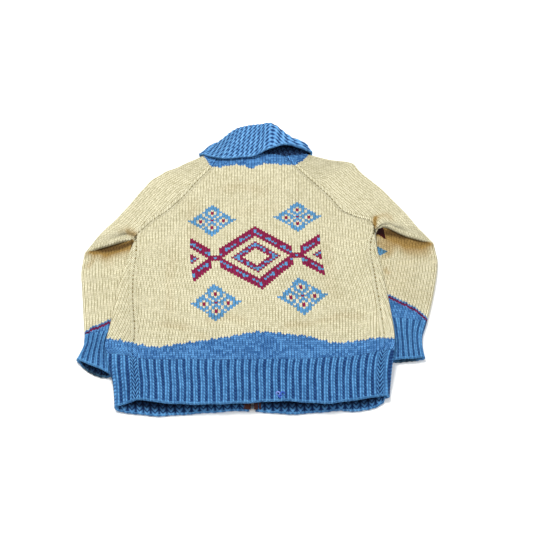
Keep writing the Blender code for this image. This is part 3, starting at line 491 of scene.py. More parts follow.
def bottom_level(x, y):
    """Height of the fronts' underside: over the sleeve at the sides, over the collar's fall at the neck."""
    x, y = plan(x, y)
    fall_y = LAPEL_TOP_Y - LAPEL_DEPTH * (1 - np.minimum(1.0, np.abs(x) / LAPEL_HALF_WIDTH) ** 2)
    lapel = LAPEL_LIFT * smooth((y - fall_y + LAPEL_RAMP_START) / LAPEL_RAMP)
    lifts = []
    for side in SIGN:
        key = level_key(side, y)
        inside = SIGN[side] * (side_x(side, y) - x)
        ramp = smooth(1 - (inside - read(TUCKS, key) - SIDE_LIFT_START) / SIDE_LIFT_WIDTH)
        lifts.append(np.where(y > armpit_y(side), 0.0, read(SIDE_LEVELS, key, 2) * ramp))
    return np.maximum(lapel, np.where(x < 0, *lifts))


def wall_under(level, upward, x, y):
    """The middle of the wall whose outer face has that level, and its way out."""
    x, y = plan(x, y)
    slope_x = (level(x + SLOPE_STEP, y) - level(x - SLOPE_STEP, y)) / (2 * SLOPE_STEP)
    slope_y = (level(x, y + SLOPE_STEP) - level(x, y - SLOPE_STEP)) / (2 * SLOPE_STEP)
    normal = np.stack([-slope_x, -slope_y, np.ones_like(slope_x)], axis=-1) * upward
    normal = normal / np.linalg.norm(normal, axis=-1, keepdims=True)
    return np.stack([x, y, level(x, y) - upward * HALF_WALL], axis=-1), normal


on_top = partial(wall_under, top_level, 1.0)
on_bottom = partial(wall_under, bottom_level, -1.0)


def side_roll(side, y):
    """Middle height, radius and middle radius of the cloth's turn at the body's side."""
    key = level_key(side, y)
    top, bottom = read(SIDE_LEVELS, key, 1), read(SIDE_LEVELS, key, 2)
    radius = (top - bottom) / 2
    return (top + bottom) / 2, radius, radius - HALF_WALL


def round_side(side, over, y):
    """Points of the body's wall at distances over the cloth from the middle of the side roll."""
    sign = SIGN[side]
    over, y = np.broadcast_arrays(np.asarray(over, float), np.asarray(y, float))
    middle_z, radius, middle_radius = side_roll(side, y)
    quarter = middle_radius * math.pi / 2
    edge = side_x(side, np.minimum(y, armpit_y(side)))
    angle = np.clip(over / middle_radius, -math.pi / 2, math.pi / 2)
    out = np.stack([sign * np.cos(angle), 0 * angle, np.sin(angle)], axis=-1)
    centre = np.stack([edge - sign * radius, y, middle_z], axis=-1)
    points, normals = centre + out * middle_radius[..., None], out
    x = edge - sign * (radius + np.abs(over) - quarter)
    for beyond, surface in ((over > quarter, on_top), (over < -quarter, on_bottom)):
        flat, flat_normal = surface(x, y)
        points = np.where(beyond[..., None], flat, points)
        normals = np.where(beyond[..., None], flat_normal, normals)
    return points, normals


def seam_distance(side, y):
    return read(LEFT_SEAM if side == "left" else RIGHT_SEAM, y)


class Sheet:
    """Rows and columns of points in the middle of a wall, with the way out at each.

    rise and inner_rise stand over the wall's two faces, and shift moves both. u and v are the stitch
    coordinates. edge is the distance from a colour edge or a bound-off edge, seam from a sewn one. bulge is
    the rim's, hollow the share of painted warm shade, and tip the sleeve's own motifs.
    """

    def __init__(self, middle, normal, closed=None):
        self.middle, self.normal = np.array(middle, float), np.array(normal, float)
        shape = self.middle.shape[:2]
        self.closed = np.zeros(shape[0], bool) if closed is None else closed
        self.shift = np.zeros_like(self.middle)
        for name in ("rise", "inner_rise", "u", "v", "hollow", "tip"):
            setattr(self, name, np.zeros(shape))
        self.edge, self.seam, self.bulge = np.full(shape, FAR), np.full(shape, FAR), np.full(shape, RIM)

    def face(self, distance):
        points = self.middle + self.shift + self.normal * distance[..., None]
        points[..., 2] = np.maximum(points[..., 2], 0.0)
        return points.reshape(-1, 3)

    def outer(self):
        return self.face(HALF_WALL + self.rise)

    def inner(self):
        return self.face(-HALF_WALL - self.inner_rise)


def across_length(points):
    """Distance over the cloth along each row, from its first column."""
    steps = np.linalg.norm(np.diff(points, axis=1), axis=2)
    return np.concatenate([np.zeros((len(points), 1)), np.cumsum(steps, axis=1)], axis=1)


def up_length(points):
    """Distance over the cloth along each column, from its first row."""
    steps = np.linalg.norm(np.diff(points, axis=0), axis=2)
    return np.concatenate([np.zeros((1, points.shape[1])), np.cumsum(steps, axis=0)], axis=0)


def row_y(share, x):
    armpits = np.interp(x, (LEFT_RAGLAN[0][0], RIGHT_RAGLAN[0][0]), (armpit_y("left"), armpit_y("right")))
    return (1 - share) * read(RIB_TOP, x) + share * armpits


def hem_y(table, share, x):
    return (1 - share) * read(RIB_TOP, x) + share * read(table, x)


def seam_point(side, y_at):
    """Where the side seam meets a row, whose y depends on x."""
    x = SIGN[side] * SIDE_HALF_X
    for _ in range(5):
        y = float(y_at(x))
        x = float(round_side(side, seam_distance(side, y), y)[0][0])
    return x, float(y_at(x))


# ---- stitch coordinates and colour edges ----


def body_stitches(x, y):
    """Stitch coordinates of the back, one stitch and one row as units, 0.5 in the middle of the pattern."""
    tilt = read(ROW_TILT, y)
    wale = read(WALE_CENTRE, y)
    up = y - PATTERN_Y - tilt * (x - PATTERN_X)
    return (x - wale) / STITCH + 0.5, (up + np.interp(up, *zip(*CLOSER_ROWS))) / ROW + 0.5


def ragged(x, size, seed):
    """An uneven value for each stitch column, with steps between columns."""
    column = np.floor(np.asarray(x) / STITCH)
    return size * np.sin(column * 12.9898 + seed) * np.cos(column * 4.137 + seed * 1.7)


def body_edge(x, y):
    """Rows above the blue band and below the blue yoke."""
    above_band = (y - read(BAND_TOP, x) - ragged(x, 3.2, 1.0)) / ROW
    below_yoke = (read(YOKE_EDGE, x) - y - ragged(x, 3.0, 4.0)) / ROW
    return np.minimum(above_band, below_yoke)


def sleeve_edge(side, x, y):
    """Rows above the cuff's blue and, on the upper sleeve, below the yoke, which has no red line under it."""
    above_cuff = (y - read(CUFF_EDGE[side], x) - ragged(x, 1.5, 2.0)) / ROW
    below_yoke = (read(YOKE_EDGE, x) - y) / ROW
    below_yoke = np.where(below_yoke < 0, below_yoke - NO_LINE, below_yoke)
    return np.where(y < CAP_FROM_Y, above_cuff, below_yoke)


def creases(table, x, y):
    """Height of soft troughs and ridges that wander along their lines."""
    height = np.zeros(np.broadcast(x, y).shape)
    for x0, y0, x1, y1, half_width, size in table:
        dx, dy = x1 - x0, y1 - y0
        length = math.hypot(dx, dy)
        along = ((x - x0) * dx + (y - y0) * dy) / length**2
        aside = ((x - x0) * -dy + (y - y0) * dx) / length
        wander = half_width * 0.35 * np.sin(along * 5.0 + x0)
        across = np.exp(-(((aside - wander) / half_width) ** 2))
        ends = smooth((along + 0.25) / 0.4) * smooth((1.25 - along) / 0.4)
        height += size * across * ends
    return height


def unevenness(x, y, seed=0.0):
    """Low, wide swells of cloth that was never ironed."""
    return (
        0.35 * np.sin(x / 41 + 1.3 * np.sin(y / 67 + seed) + seed)
        + 0.3 * np.sin(y / 37 + 1.1 * np.sin(x / 53 + 2 * seed))
        + 0.2 * np.sin((x + y) / 23 + seed * 3)
    )


def seam_dip(distance):
    """Cloth pulled down where it is sewn."""
    return -SEAM_DEPTH * np.exp(-((distance / SEAM_HALF_WIDTH) ** 2))


# ---- panels ----


def back_row(y_at, shares):
    """A row over the back, from seam to seam."""
    left, right = seam_point("left", y_at)[0], seam_point("right", y_at)[0]
    x = (1 - shares) * left + shares * right
    return on_top(x, y_at(x))


def back_sheet():
    shares = np.linspace(0, 1, BACK_COLUMNS)
    rows = [back_row(partial(row_y, step / BODY_STEPS), shares) for step in range(BODY_STEPS + 1)]
    for step in range(1, RAGLAN_STEPS + 1):
        ends = zip(RAGLAN["left"][step], RAGLAN["right"][step])
        x, y = ((1 - shares) * left + shares * right for left, right in ends)
        bow = NECK_BOW * (step / RAGLAN_STEPS) ** 4
        rows.append(on_top(x, y + bow * 4 * shares * (1 - shares)))
    sheet = Sheet(*zip(*rows))
    x, y = sheet.middle[..., 0], sheet.middle[..., 1]
    sheet.u, sheet.v = body_stitches(x, y)
    sheet.edge = body_edge(x, y)
    length = across_length(sheet.middle)
    sheet.seam = np.minimum(length, length[:, -1:] - length)
    folds = creases(BACK_CREASES, x, y)
    fade = smooth(sheet.seam / CREASE_FADE)
    sheet.shift[..., 2] += (folds + unevenness(x, y)) * fade + seam_dip(sheet.seam)
    # painted warm shade in the troughs of the creases
    sheet.hollow = np.clip(-folds * TROUGH_SHADE, 0, DEEPEST_TROUGH)
    return sheet


def front_row(side, bottom_y_at, top_y_at, columns):
    """A row from the front edge over the flat part, then round the side to the seam on the back."""
    flat, rolled = np.linspace(0, FLAT_END, columns[0]), np.linspace(0, 1, columns[1])
    sign = SIGN[side]
    seam_y = seam_point(side, top_y_at)[1]
    edge_y = float(bottom_y_at(sign * SIDE_HALF_X))
    edge_x = float(side_x(side, min(edge_y, armpit_y(side)))) - sign * float(side_roll(side, edge_y)[1])
    x = (1 - flat) * sign * ZIP_SLOT + flat * edge_x
    below = on_bottom(x, bottom_y_at(x))
    quarter = float(side_roll(side, seam_y)[2]) * math.pi / 2
    over = -quarter + (float(seam_distance(side, seam_y)) + quarter) * rolled
    above = round_side(side, over, edge_y + (seam_y - edge_y) * rolled)
    return np.concatenate([below[0], above[0]]), np.concatenate([below[1], above[1]])


def front_sheet(side):
    sign = SIGN[side]
    rows = []
    for step in range(BODY_STEPS + 1):
        y_at = partial(row_y, step / BODY_STEPS)
        rows.append(front_row(side, y_at, y_at, FRONT_COLUMNS))
    flat = np.linspace(0, FLAT_END, FRONT_COLUMNS[0])
    fine = np.linspace(CAP_FINE_START, 1, FRONT_COLUMNS[1] + 1)[1:]
    shares = np.concatenate([flat / FLAT_END * CAP_FINE_START, fine])
    for step in range(1, RAGLAN_STEPS + 1):
        raglan_x, raglan_y = RAGLAN[side][step]
        centre_y = armpit_y(side) + (FRONT_NECK_Y - armpit_y(side)) * step / RAGLAN_STEPS
        x = (1 - shares) * sign * ZIP_SLOT + shares * raglan_x
        rows.append(on_bottom(x, centre_y + (raglan_y - centre_y) * shares))
    sheet = Sheet(*zip(*rows))
    x, y = sheet.middle[..., 0], sheet.middle[..., 1]
    length = across_length(sheet.middle)
    sheet.u = sign * (length + ZIP_SLOT) / STITCH
    sheet.v = body_stitches(x, y)[1]
    sheet.edge = body_edge(x, y)
    sheet.seam = length[:, -1:] - length
    sheet.shift[..., 2] += seam_dip(sheet.seam) * np.maximum(sheet.normal[..., 2], 0)
    return sheet


def rib_profile(phase):
    """Height across one rib, as a share of the full rise: a knit wale of two legs, then a purl groove."""
    t = np.mod(phase, 1.0)
    half_width = 0.17
    smooth_leg, knotty_leg = (np.exp(-(((t - leg) / half_width) ** 2)) for leg in (SMOOTH_LEG, KNOTTY_LEG))
    return np.minimum(smooth_leg + 0.9 * knotty_leg, 1.0)


def rope_profile(phase):
    """Height across the collar's closer ribs, one rope each."""
    return np.exp(-(((np.mod(phase, 1.0) - 0.45) / 0.27) ** 2))


def cord_profile(to_edge):
    return np.exp(-(((to_edge - 1.0) / CORD_HALF_WIDTH) ** 2))


def pull_edge(sheet, way, to_edge, swing):
    """The bound-off edge swings in and out along the cloth, less and less above it, and has a firm cord."""
    way = way / np.linalg.norm(way, axis=1, keepdims=True)
    sheet.shift += way[None] * swing[None, :, None] * np.exp(-((to_edge / EDGE_SWING) ** 2))[..., None]
    sheet.bulge[-1] = CORD
    sheet.edge = to_edge


def finish_rib(sheet, length, sides=(True, True)):
    """Ribs, their rows, the slow start under the panel and the seams at the sides that have one."""
    down = up_length(sheet.middle)
    sheet.v = -down / RIB_ROW
    sheet.u += 0.03 * np.sin(down / 23 + np.floor(sheet.u) * 2.3) + 0.04 * np.sin(sheet.u * 0.9)
    ramp = 0.06 + 0.94 * smooth((down - 1.0) / RIB_START)
    uneven = 0.9 + 0.1 * np.sin(sheet.u * 5.1 + 1.0 + down / 31)
    to_edge = down[-1:] - down
    sheet.rise = rib_profile(sheet.u) * RIB_RISE * ramp * uneven * (0.35 + 0.65 * smooth(to_edge / RIB_END))
    sheet.rise += CORD_RISE * cord_profile(to_edge)
    sheet.inner_rise = rib_profile(sheet.u + 0.5) * INNER_RIB_RISE * ramp
    swing = 0.35 * np.cos(2 * math.pi * (sheet.u[-1] - 0.45)) + 0.6 * np.sin(sheet.u[-1] * 1.7)
    pull_edge(sheet, sheet.middle[-1] - sheet.middle[-2], to_edge, swing)
    near = np.minimum(length if sides[0] else FAR, length[:, -1:] - length if sides[1] else FAR)
    sheet.seam = near + np.zeros_like(down)
    sheet.rise += seam_dip(near) * 0.5 * np.maximum(sheet.normal[..., 2], 0)


def back_welt_sheet():
    shares = np.linspace(0, 1, HEM_RIBS * RIB_COLUMNS + 1)
    steps = range(WELT_STEPS + 1)
    sheet = Sheet(*zip(*(back_row(partial(hem_y, HEM_BACK, step / WELT_STEPS), shares) for step in steps)))
    x, y = sheet.middle[..., 0], sheet.middle[..., 1]
    sheet.u = np.broadcast_to(shares * HEM_RIBS, x.shape).copy()
    finish_rib(sheet, across_length(sheet.middle))
    sheet.shift[..., 2] += 0.6 * unevenness(x, y, 2.0)
    return sheet


def front_welt_sheet(side):
    rows = []
    for step in range(WELT_STEPS + 1):
        share = step / WELT_STEPS
        lines = partial(hem_y, HEM_FRONT, share), partial(hem_y, HEM_BACK, share)
        rows.append(front_row(side, *lines, FRONT_WELT_COLUMNS))
    sheet = Sheet(*zip(*rows))
    length = across_length(sheet.middle)
    sheet.u = (length[:, -1:] - length) / FRONT_RIB * -SIGN[side] + 0.02
    finish_rib(sheet, length, sides=(False, True))
    return sheet


def arm_ring(inner, outer, inner_levels, outer_levels, crown, bow, closed, counts):
    """Points round a flattened sleeve, from its underarm over the top, round and back."""
    roll_count, top_count, bottom_count = counts
    inner, outer = np.asarray(inner, float), np.asarray(outer, float)
    width = float(np.linalg.norm(outer - inner))

    def spots(across, heights):
        share = np.clip(across / width, 0, 1)
        line = inner + (outer - inner) * (across / width)[:, None]
        peak = 0.15  # the bow is highest at this share of the width
        line = line + np.stack([0 * share, bow * share / peak * np.exp(1 - share / peak)], axis=1)
        return np.concatenate([line, heights[:, None]], axis=1)

    def levels(across):
        share = np.clip(across / width, 0, 1)
        bottom = (1 - share) * inner_levels[0] + share * outer_levels[0]
        ease = share if closed else smooth(share)
        top = (1 - ease) * inner_levels[1] + ease * outer_levels[1]
        return bottom, top + crown * smooth(np.minimum(share, 1 - share) / 0.3)

    def sheet_at(across, upward):
        bottom, top = levels(across)
        return spots(across, top - HALF_WALL if upward > 0 else bottom + HALF_WALL)

    def roll(edge_levels, at_outer, upward):
        radius = (edge_levels[1] - edge_levels[0]) / 2
        turn = np.linspace(0, math.pi / 2, roll_count)
        in_from_edge = radius - (radius - HALF_WALL) * np.cos(turn)
        across = width - in_from_edge if at_outer else in_from_edge
        heights = sum(edge_levels) / 2 + upward * (radius - HALF_WALL) * np.sin(turn)
        return spots(across, heights)

    halves = []
    start = (inner_levels[1] - inner_levels[0]) / 2 if closed else CAP_EDGE
    end = width - (outer_levels[1] - outer_levels[0]) / 2
    for upward, count in ((1, top_count), (-1, bottom_count)):
        strip = np.linspace(0, CAP_EDGE, roll_count)
        first = roll(inner_levels, False, upward) if closed else sheet_at(strip, upward)
        flat = sheet_at(start + (end - start) * np.linspace(0, 1, count + 2)[1:-1], upward)
        last = roll(outer_levels, True, upward)[::-1]
        halves.append(np.concatenate([first, flat, last]))
    return np.concatenate([halves[0], halves[1][::-1][1:]])


def arm_edge_x(side, y):
    return float(side_x(side, y) - SIGN[side] * read(TUCKS, level_key(side, y)))


def lip_path(strength, upper, lower):
    """Offsets down the arm and heights: over the upper arm's rolled end, back under it, then forward."""
    roll = min(LIP_ROLL, (upper - lower) * 0.36)
    small = (upper - 2 * roll - lower) / 2

    def half_turn(radius, count):
        return [(radius * math.sin(a), radius * math.cos(a)) for a in np.linspace(0, math.pi, count)]

    over = [(-roll + out, upper - roll + height) for out, height in half_turn(roll, 8)]
    back = [(-roll - 4 - out, lower + small + height) for out, height in half_turn(small, 6)]
    path = [(LIP_START, upper + 0.6), (-9.0, upper + 0.9)] + over + back
    path += [(-roll, lower - 0.4), (2.0, lower - 0.6), (9.0, lower - 0.4), (LIP_END, lower)]
    blended = []
    for k, (offset, height) in enumerate(path):
        t = k / (len(path) - 1)
        plain = (LIP_START + (LIP_END - LIP_START) * t, upper + (lower - upper) * smooth(t))
        blended.append([(1 - strength) * a + strength * b for a, b in zip(plain, (offset, height))])
    return blended


def lip_rings(above, ring, following):
    """Rings over the lip, each point with its share of the lip's painted shadow as a fourth value."""
    shade = np.concatenate([np.zeros(7), np.linspace(0.5, 1.5, 3), np.full(6, 2.0), (1.6, 1.0, 0.5, 0.2)])
    rings = np.zeros((len(shade), len(ring), 4))
    for c, spot in enumerate(ring):
        share = c / (SLEEVE_TOP - 1)
        on_top_side = c < SLEEVE_TOP
        strength = float(smooth((c - 1) / 8) * smooth((0.985 - share) / 0.3)) if on_top_side else 0.0
        ahead, behind = (following[c] - spot) * (1, 1, 0), (spot - above[c]) * (1, 1, 0)
        front, rear = np.linalg.norm(ahead), np.linalg.norm(behind)
        for k, (offset, height) in enumerate(lip_path(strength, spot[2], following[c][2])):
            if offset < 0:
                way, room = behind / rear, rear / LIP_ROOM_ABOVE
            else:
                way, room = ahead / front, front / LIP_ROOM_BELOW
            rings[k, c, :3] = spot + way * offset * min(1.0, room)
            if on_top_side:
                rings[k, c, 2] = height
            rings[k, c, 3] = shade[k] * strength
    return list(rings)


def grid_normals(points, closed, upward_at):
    """The way out at each point of a grid, told by one point where it is known to be upwards."""
    along, across = np.gradient(points, axis=0), np.gradient(points, axis=1)
    across[closed, 0] = across[closed, -1] = points[closed, 1] - points[closed, -2]
    normals = np.cross(across, along)
    normals /= np.maximum(np.linalg.norm(normals, axis=-1, keepdims=True), 1e-9)
    return normals * np.sign(normals[upward_at][2])


def tips(side, x, y):
    """1 or -1 inside the corners of each visible tip, with an edge a few millimetres wide."""
    total = np.zeros_like(x)
    for where, tone, *corners in SLEEVE_TIPS:
        if where != side:
            continue
        points = np.array(corners, float).reshape(3, 2)
        inside = np.full_like(x, FAR)
        for k in range(3):
            a, b, c = points[k], points[(k + 1) % 3], points[(k + 2) % 3]
            line = (b - a) / np.linalg.norm(b - a)
            aside = (x - a[0]) * -line[1] + (y - a[1]) * line[0]
            aside *= np.sign((c[0] - a[0]) * -line[1] + (c[1] - a[1]) * line[0])
            inside = np.minimum(inside, aside)
        total += tone * np.clip(0.5 + inside / 3.0, 0, 1)
    return total


def cap_rings(side):
    """The raglan cap, from the neck down to the armpit, whose ring is the first closed one."""
    rings = []
    for step in range(RAGLAN_STEPS, -1, -1):
        inner, outer = RAGLAN[side][step], SHOULDER[side][step]
        top = float(top_level(*inner)) if step else float(read(SIDE_LEVELS, ARMPIT_LEVEL))
        bottom = float(bottom_level(*inner)) if step else 0.0
        low = float(bottom_level(*outer))
        levels = ((bottom, top), (low, low + ARM_HEIGHT))
        crown = CAP_CROWN * (1 - step / RAGLAN_STEPS) ** 2
        rings.append(arm_ring(inner, outer, *levels, crown, 0.0, step == 0, SLEEVE_COLUMNS))
    return rings


def arm_rings(side):
    """The arm below the armpit, a ring to each row of its table."""
    rings = []
    for i, (under_y, outer_x, outer_y, crown, bow) in enumerate(LEFT_ARM if side == "left" else RIGHT_ARM):
        inner = (arm_edge_x(side, under_y), under_y)
        levels = ((0, ARM_HEIGHT + (0.0 if i else ARMPIT_EXTRA)), (0, ARM_HEIGHT))
        rings.append(arm_ring(inner, (outer_x, outer_y), *levels, crown, bow, True, SLEEVE_COLUMNS))
    return rings


def sleeve_sheet(side):
    cap, arm = cap_rings(side), arm_rings(side)
    shaded = [np.pad(ring, ((0, 0), (0, 1))) for ring in [cap[-1]] + arm]
    lip = lip_rings(arm[LIP_ROW - 1], arm[LIP_ROW], arm[LIP_ROW + 1])
    lower = np.array(shaded[: LIP_ROW + 1] + lip + shaded[LIP_ROW + 2 :])
    steps = np.linalg.norm(np.diff(lower[..., :3], axis=0), axis=2)
    keys = running(np.maximum(steps[:, SLEEVE_FLAT].mean(axis=1), 0.3))
    fine = fine_keys(keys, SLEEVE_SPACING)
    dense = hermite_rows(lower, keys, fine)
    points = np.concatenate([np.array(cap[:-1]), dense[..., :3]])
    closed = np.arange(len(points)) >= len(cap) - 1
    under_fold = np.concatenate([np.zeros(len(cap) - 1), fine >= keys[LIP_ROW + 1 + LIP_TURN]])[:, None]
    sheet = Sheet(points, grid_normals(points, closed, (0, TOP_COLUMN)), closed)
    length = across_length(points)
    sheet.u = (length[:, SLEEVE_TOP - 1 : SLEEVE_TOP] - length) * -SIGN[side] / STITCH
    down = up_length(points)[:, TOP_COLUMN : SLEEVE_TOP - 8].mean(axis=1)
    sheet.v = np.broadcast_to(-(down - down[-1])[:, None] / ROW, sheet.u.shape).copy()
    x, y = points[..., 0], points[..., 1]
    sheet.edge = sleeve_edge(side, x, y)
    # painted warm shade beside the sleeve's fold and under it; the lip's painted shadow is added to it
    above, below = SLEEVE_SHADES[side]
    sheet.hollow = creases(above, x, y) * (1 - under_fold) + creases(below, x, y) * under_fold
    sheet.hollow[len(cap) - 1 :] += np.clip(dense[..., 3], 0, 2)
    sheet.hollow = np.clip(sheet.hollow, 0, 2) * (np.arange(points.shape[1]) < SLEEVE_TOP)
    sheet.tip = tips(side, x, y) * under_fold
    ends = np.minimum(length, length[:, -1:] - length)
    is_open = ~closed[:, None]
    sheet.seam = np.where(is_open, ends, FAR)
    upper = np.maximum(sheet.normal[..., 2], 0)
    fade = smooth(np.where(is_open, ends, length) / SLEEVE_CREASE_FADE)
    waves = creases(SLEEVE_CREASES[side], x, y) + unevenness(x, y, 3.0 if side == "left" else 5.0)
    sheet.shift[..., 2] += (waves * fade * 0.9 + np.where(is_open, seam_dip(sheet.seam), 0)) * upper
    return sheet


def cuff_sheet(side):
    rings = []
    for under_y, outer_x, outer_y, height, crown in LEFT_CUFF if side == "left" else RIGHT_CUFF:
        inner = (arm_edge_x(side, under_y), under_y)
        levels = ((0, height), (0, height))
        rings.append(arm_ring(inner, (outer_x, outer_y), *levels, crown, 0.0, True, CUFF_COLUMNS))
    rings = np.array(rings)
    keys = running(np.linalg.norm(np.diff(rings, axis=0), axis=2).mean(axis=1))
    points = hermite_rows(rings, keys, np.linspace(0, keys[-1], CUFF_STEPS))
    closed = np.ones(CUFF_STEPS, bool)
    sheet = Sheet(points, grid_normals(points, closed, (0, TOP_COLUMN)), closed)
    length = across_length(points)
    total = length[:, -1:]
    sheet.u = length / total * CUFF_RIBS
    finish_rib(sheet, length, sides=(False, False))
    under = np.clip((length / total - 0.54) / 0.42, 0, 1)
    late = smooth(np.linspace(-1.2, 1, CUFF_STEPS))[:, None]
    slide = CUFF_OVERHANG[side] * np.sin(math.pi * under) * late
    way = points[-1] - points[-3]
    way /= np.linalg.norm(way, axis=1, keepdims=True)
    sheet.shift += way[None] * slide[..., None]
    # painted shade on the lower half within a few millimetres of the free edge, where the cuff's mouth lies
    # in shade
    sheet.hollow = 1.6 * np.sin(math.pi * under) * np.exp(-((sheet.edge / 3.5) ** 2))
    return sheet


def neck_ring(back, fronts, sleeves):
    """The neck's edge, from the left front over the back to the right front."""
    edges = [fronts["left"].middle[-1], sleeves["left"].middle[0][::-1], back.middle[-1]]
    edges += [sleeves["right"].middle[0], fronts["right"].middle[-1][::-1]]
    points = np.concatenate(edges)
    keep = np.concatenate([[True], np.linalg.norm(np.diff(points, axis=0), axis=1) > 1e-4])
    return points[keep]


def collar_sheet(back, fronts, sleeves):
    ring = neck_ring(back, fronts, sleeves)
    along = line_keys(ring)
    left_fold, right_fold = along[int(np.argmin(ring[:, 0]))], along[int(np.argmax(ring[:, 0]))]
    before = np.linspace(0, left_fold, COLLAR_FRONT_COLUMNS)[:-1]
    across = np.linspace(left_fold, right_fold, COLLAR_RIBS * RIB_COLUMNS + 1)
    after = np.linspace(right_fold, along[-1], COLLAR_FRONT_COLUMNS)[1:]
    positions = np.concatenate([before, across, after])

    def facing(at, up):
        """The roll's way out and the stand's height above its middle; both turn over at the sides."""
        side = -1.0 if at < (left_fold + right_fold) / 2 else 1.0
        inside = at - left_fold if side < 0 else right_fold - at
        angle = math.pi / 2 * float(np.clip(inside / STAND_TURN, -1, 1))
        sideways = np.array([up[1], -up[0], 0.0]) * side
        height = STAND_HALF_HEIGHT * math.sin(math.pi / 2 * float(np.clip(inside / STAND_ROUND, -1, 1)))
        return sideways * math.cos(angle) + np.array([0.0, 0.0, math.sin(angle)]), height

    def profile(at):
        """Points down the collar: the stand's root and end, the roll, the fall's middle and its edge."""
        if at < left_fold:
            table, share = COLLAR_FRONT_LEFT, 1 - at / left_fold
        elif at > right_fold:
            table, share = COLLAR_FRONT_RIGHT, (at - right_fold) / (along[-1] - right_fold)
        else:
            table, share = COLLAR_BACK, (at - left_fold) / (right_fold - left_fold)
        fold_x, fold_y, edge_x, edge_y, edge_z, radius = (float(read(table, share, k)) for k in range(1, 7))
        up = np.array([fold_x - edge_x, fold_y - edge_y, 0.0])
        up /= np.linalg.norm(up)
        out, height = facing(at, up)
        stand_end = np.array([fold_x, fold_y, STAND_MIDDLE_Z + height]) - up * (radius + HALF_WALL)
        roll = []
        for angle in range(30, 181, 30):
            turn = math.radians(angle)
            lifted = out * radius * (1 - math.cos(turn)) + up * radius * math.sin(turn)
            roll.append(stand_end + lifted)
        edge = np.array([edge_x, edge_y, edge_z])
        fall_middle = (roll[-1] + edge) / 2 + out * 1.5 * max(0.0, out[2])
        return np.array([along_line(ring, along, at), stand_end, *roll, fall_middle, edge])

    control = np.stack([profile(at) for at in positions], axis=1)
    middle = len(before) + len(across) // 2
    steps = np.linalg.norm(np.diff(control, axis=0), axis=2)
    steps = steps[:, middle - COLLAR_MIDDLE : middle + COLLAR_MIDDLE].mean(axis=1)
    keys = running(np.maximum(steps, 2))
    fine = fine_keys(keys, COLLAR_SPACING)
    grid = hermite_rows(control, keys, fine)
    sheet = Sheet(grid, grid_normals(grid, np.zeros(len(grid), bool), (-1, middle)))
    phase = np.interp(positions, (left_fold, right_fold), (0, COLLAR_RIBS))
    phase = phase + np.minimum(positions - left_fold, 0) / COLLAR_FRONT_RIB
    phase = phase + np.maximum(positions - right_fold, 0) / COLLAR_FRONT_RIB
    sheet.u = np.broadcast_to(phase, grid.shape[:2]).copy()
    down = up_length(grid)
    to_edge = down[-1:] - down
    sheet.v = -down / RIB_ROW
    sheet.u += 0.08 * np.sin(sheet.v * 0.4 + sheet.u)
    on_fall = smooth((fine[:, None] - keys[2]) / ROPE_START)
    sheet.rise = rope_profile(sheet.u) * ROPE_RISE * (0.2 + 0.8 * on_fall) + cord_profile(to_edge)
    sheet.inner_rise = rope_profile(sheet.u + 0.5) * INNER_ROPE_RISE * on_fall
    swing = 0.4 * np.cos(2 * math.pi * (phase - 0.45)) + 0.7 * np.sin(phase * 1.3)
    pull_edge(sheet, grid[-1] - grid[-4], to_edge, swing)
    sheet.bulge[:, 0] = sheet.bulge[:, -1] = COLLAR_END
    return sheet


# ---- meshes ----

BOX_FROM_HEM = 1.5  # the zip's bottom box starts this far above the fronts' hem
BOX_BOTTOM = 3.9  # and this high above the surface


def find_shift():
    """The zip's bottom box tells where the solids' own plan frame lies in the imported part."""
    low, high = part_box("zip_box")
    hem = float(read(HEM_FRONT, 0.0)) + BOX_FROM_HEM
    return np.array([(low.x + high.x) / 2 / MM, low.y / MM - hem, low.z / MM - BOX_BOTTOM])


SHIFT = find_shift()


def grid_faces(sheet):
    """A sheet's faces, with the ends of a closed row joined, and the same faces with them apart."""
    rows, columns = sheet.rise.shape
    r, c = np.meshgrid(np.arange(rows - 1), np.arange(columns - 1), indexing="ij")
    first = (r * columns + c).ravel()
    spots = np.stack([first, first + 1, first + columns + 1, first + columns], axis=1)
    joined = np.arange(rows * columns).reshape(rows, columns)
    joined[sheet.closed, -1] = joined[sheet.closed, 0]
    return joined.ravel()[spots], spots


def wall(sheet):
    """Points and faces of the outer face, the inner face and a rounded rim, and each face's spots."""
    outer, inner = sheet.outer(), sheet.inner()
    count = len(outer)
    faces, spots = grid_faces(sheet)
    edges, spot_edges = (np.concatenate([f[:, [k, (k + 1) % 4]] for k in range(4)]) for f in (faces, spots))
    forward = {tuple(edge): i for i, edge in enumerate(edges.tolist())}
    rim = [i for (a, b), i in forward.items() if (b, a) not in forward]
    centre = outer[faces].mean(axis=1)
    outward = np.zeros_like(outer)
    rim_faces, rim_spots = [], []
    for i in rim:
        a, b = edges[i]
        line = outer[b] - outer[a]
        side = (outer[a] + outer[b]) / 2 - centre[i % len(faces)]
        side -= line * np.dot(side, line) / max(np.dot(line, line), 1e-12)
        side /= max(np.linalg.norm(side), 1e-9)
        outward[a] += side
        outward[b] += side
        mid_a, mid_b = a + 2 * count, b + 2 * count
        rim_faces += [(b, a, mid_a, mid_b), (mid_b, mid_a, a + count, b + count)]
        first, second = spot_edges[i]
        rim_spots += [(second, first, first, second)] * 2
    outward /= np.maximum(np.linalg.norm(outward, axis=1, keepdims=True), 1e-9)
    rim_points = (outer + inner) / 2 + outward * sheet.bulge.reshape(-1, 1)
    rim_points[:, 2] = np.maximum(rim_points[:, 2], 0.0)
    points = np.concatenate([outer, inner, rim_points])
    faces = np.concatenate([faces, faces[:, ::-1] + count, np.array(rim_faces)])
    return points, faces, np.concatenate([spots, spots[:, ::-1], np.array(rim_spots)])


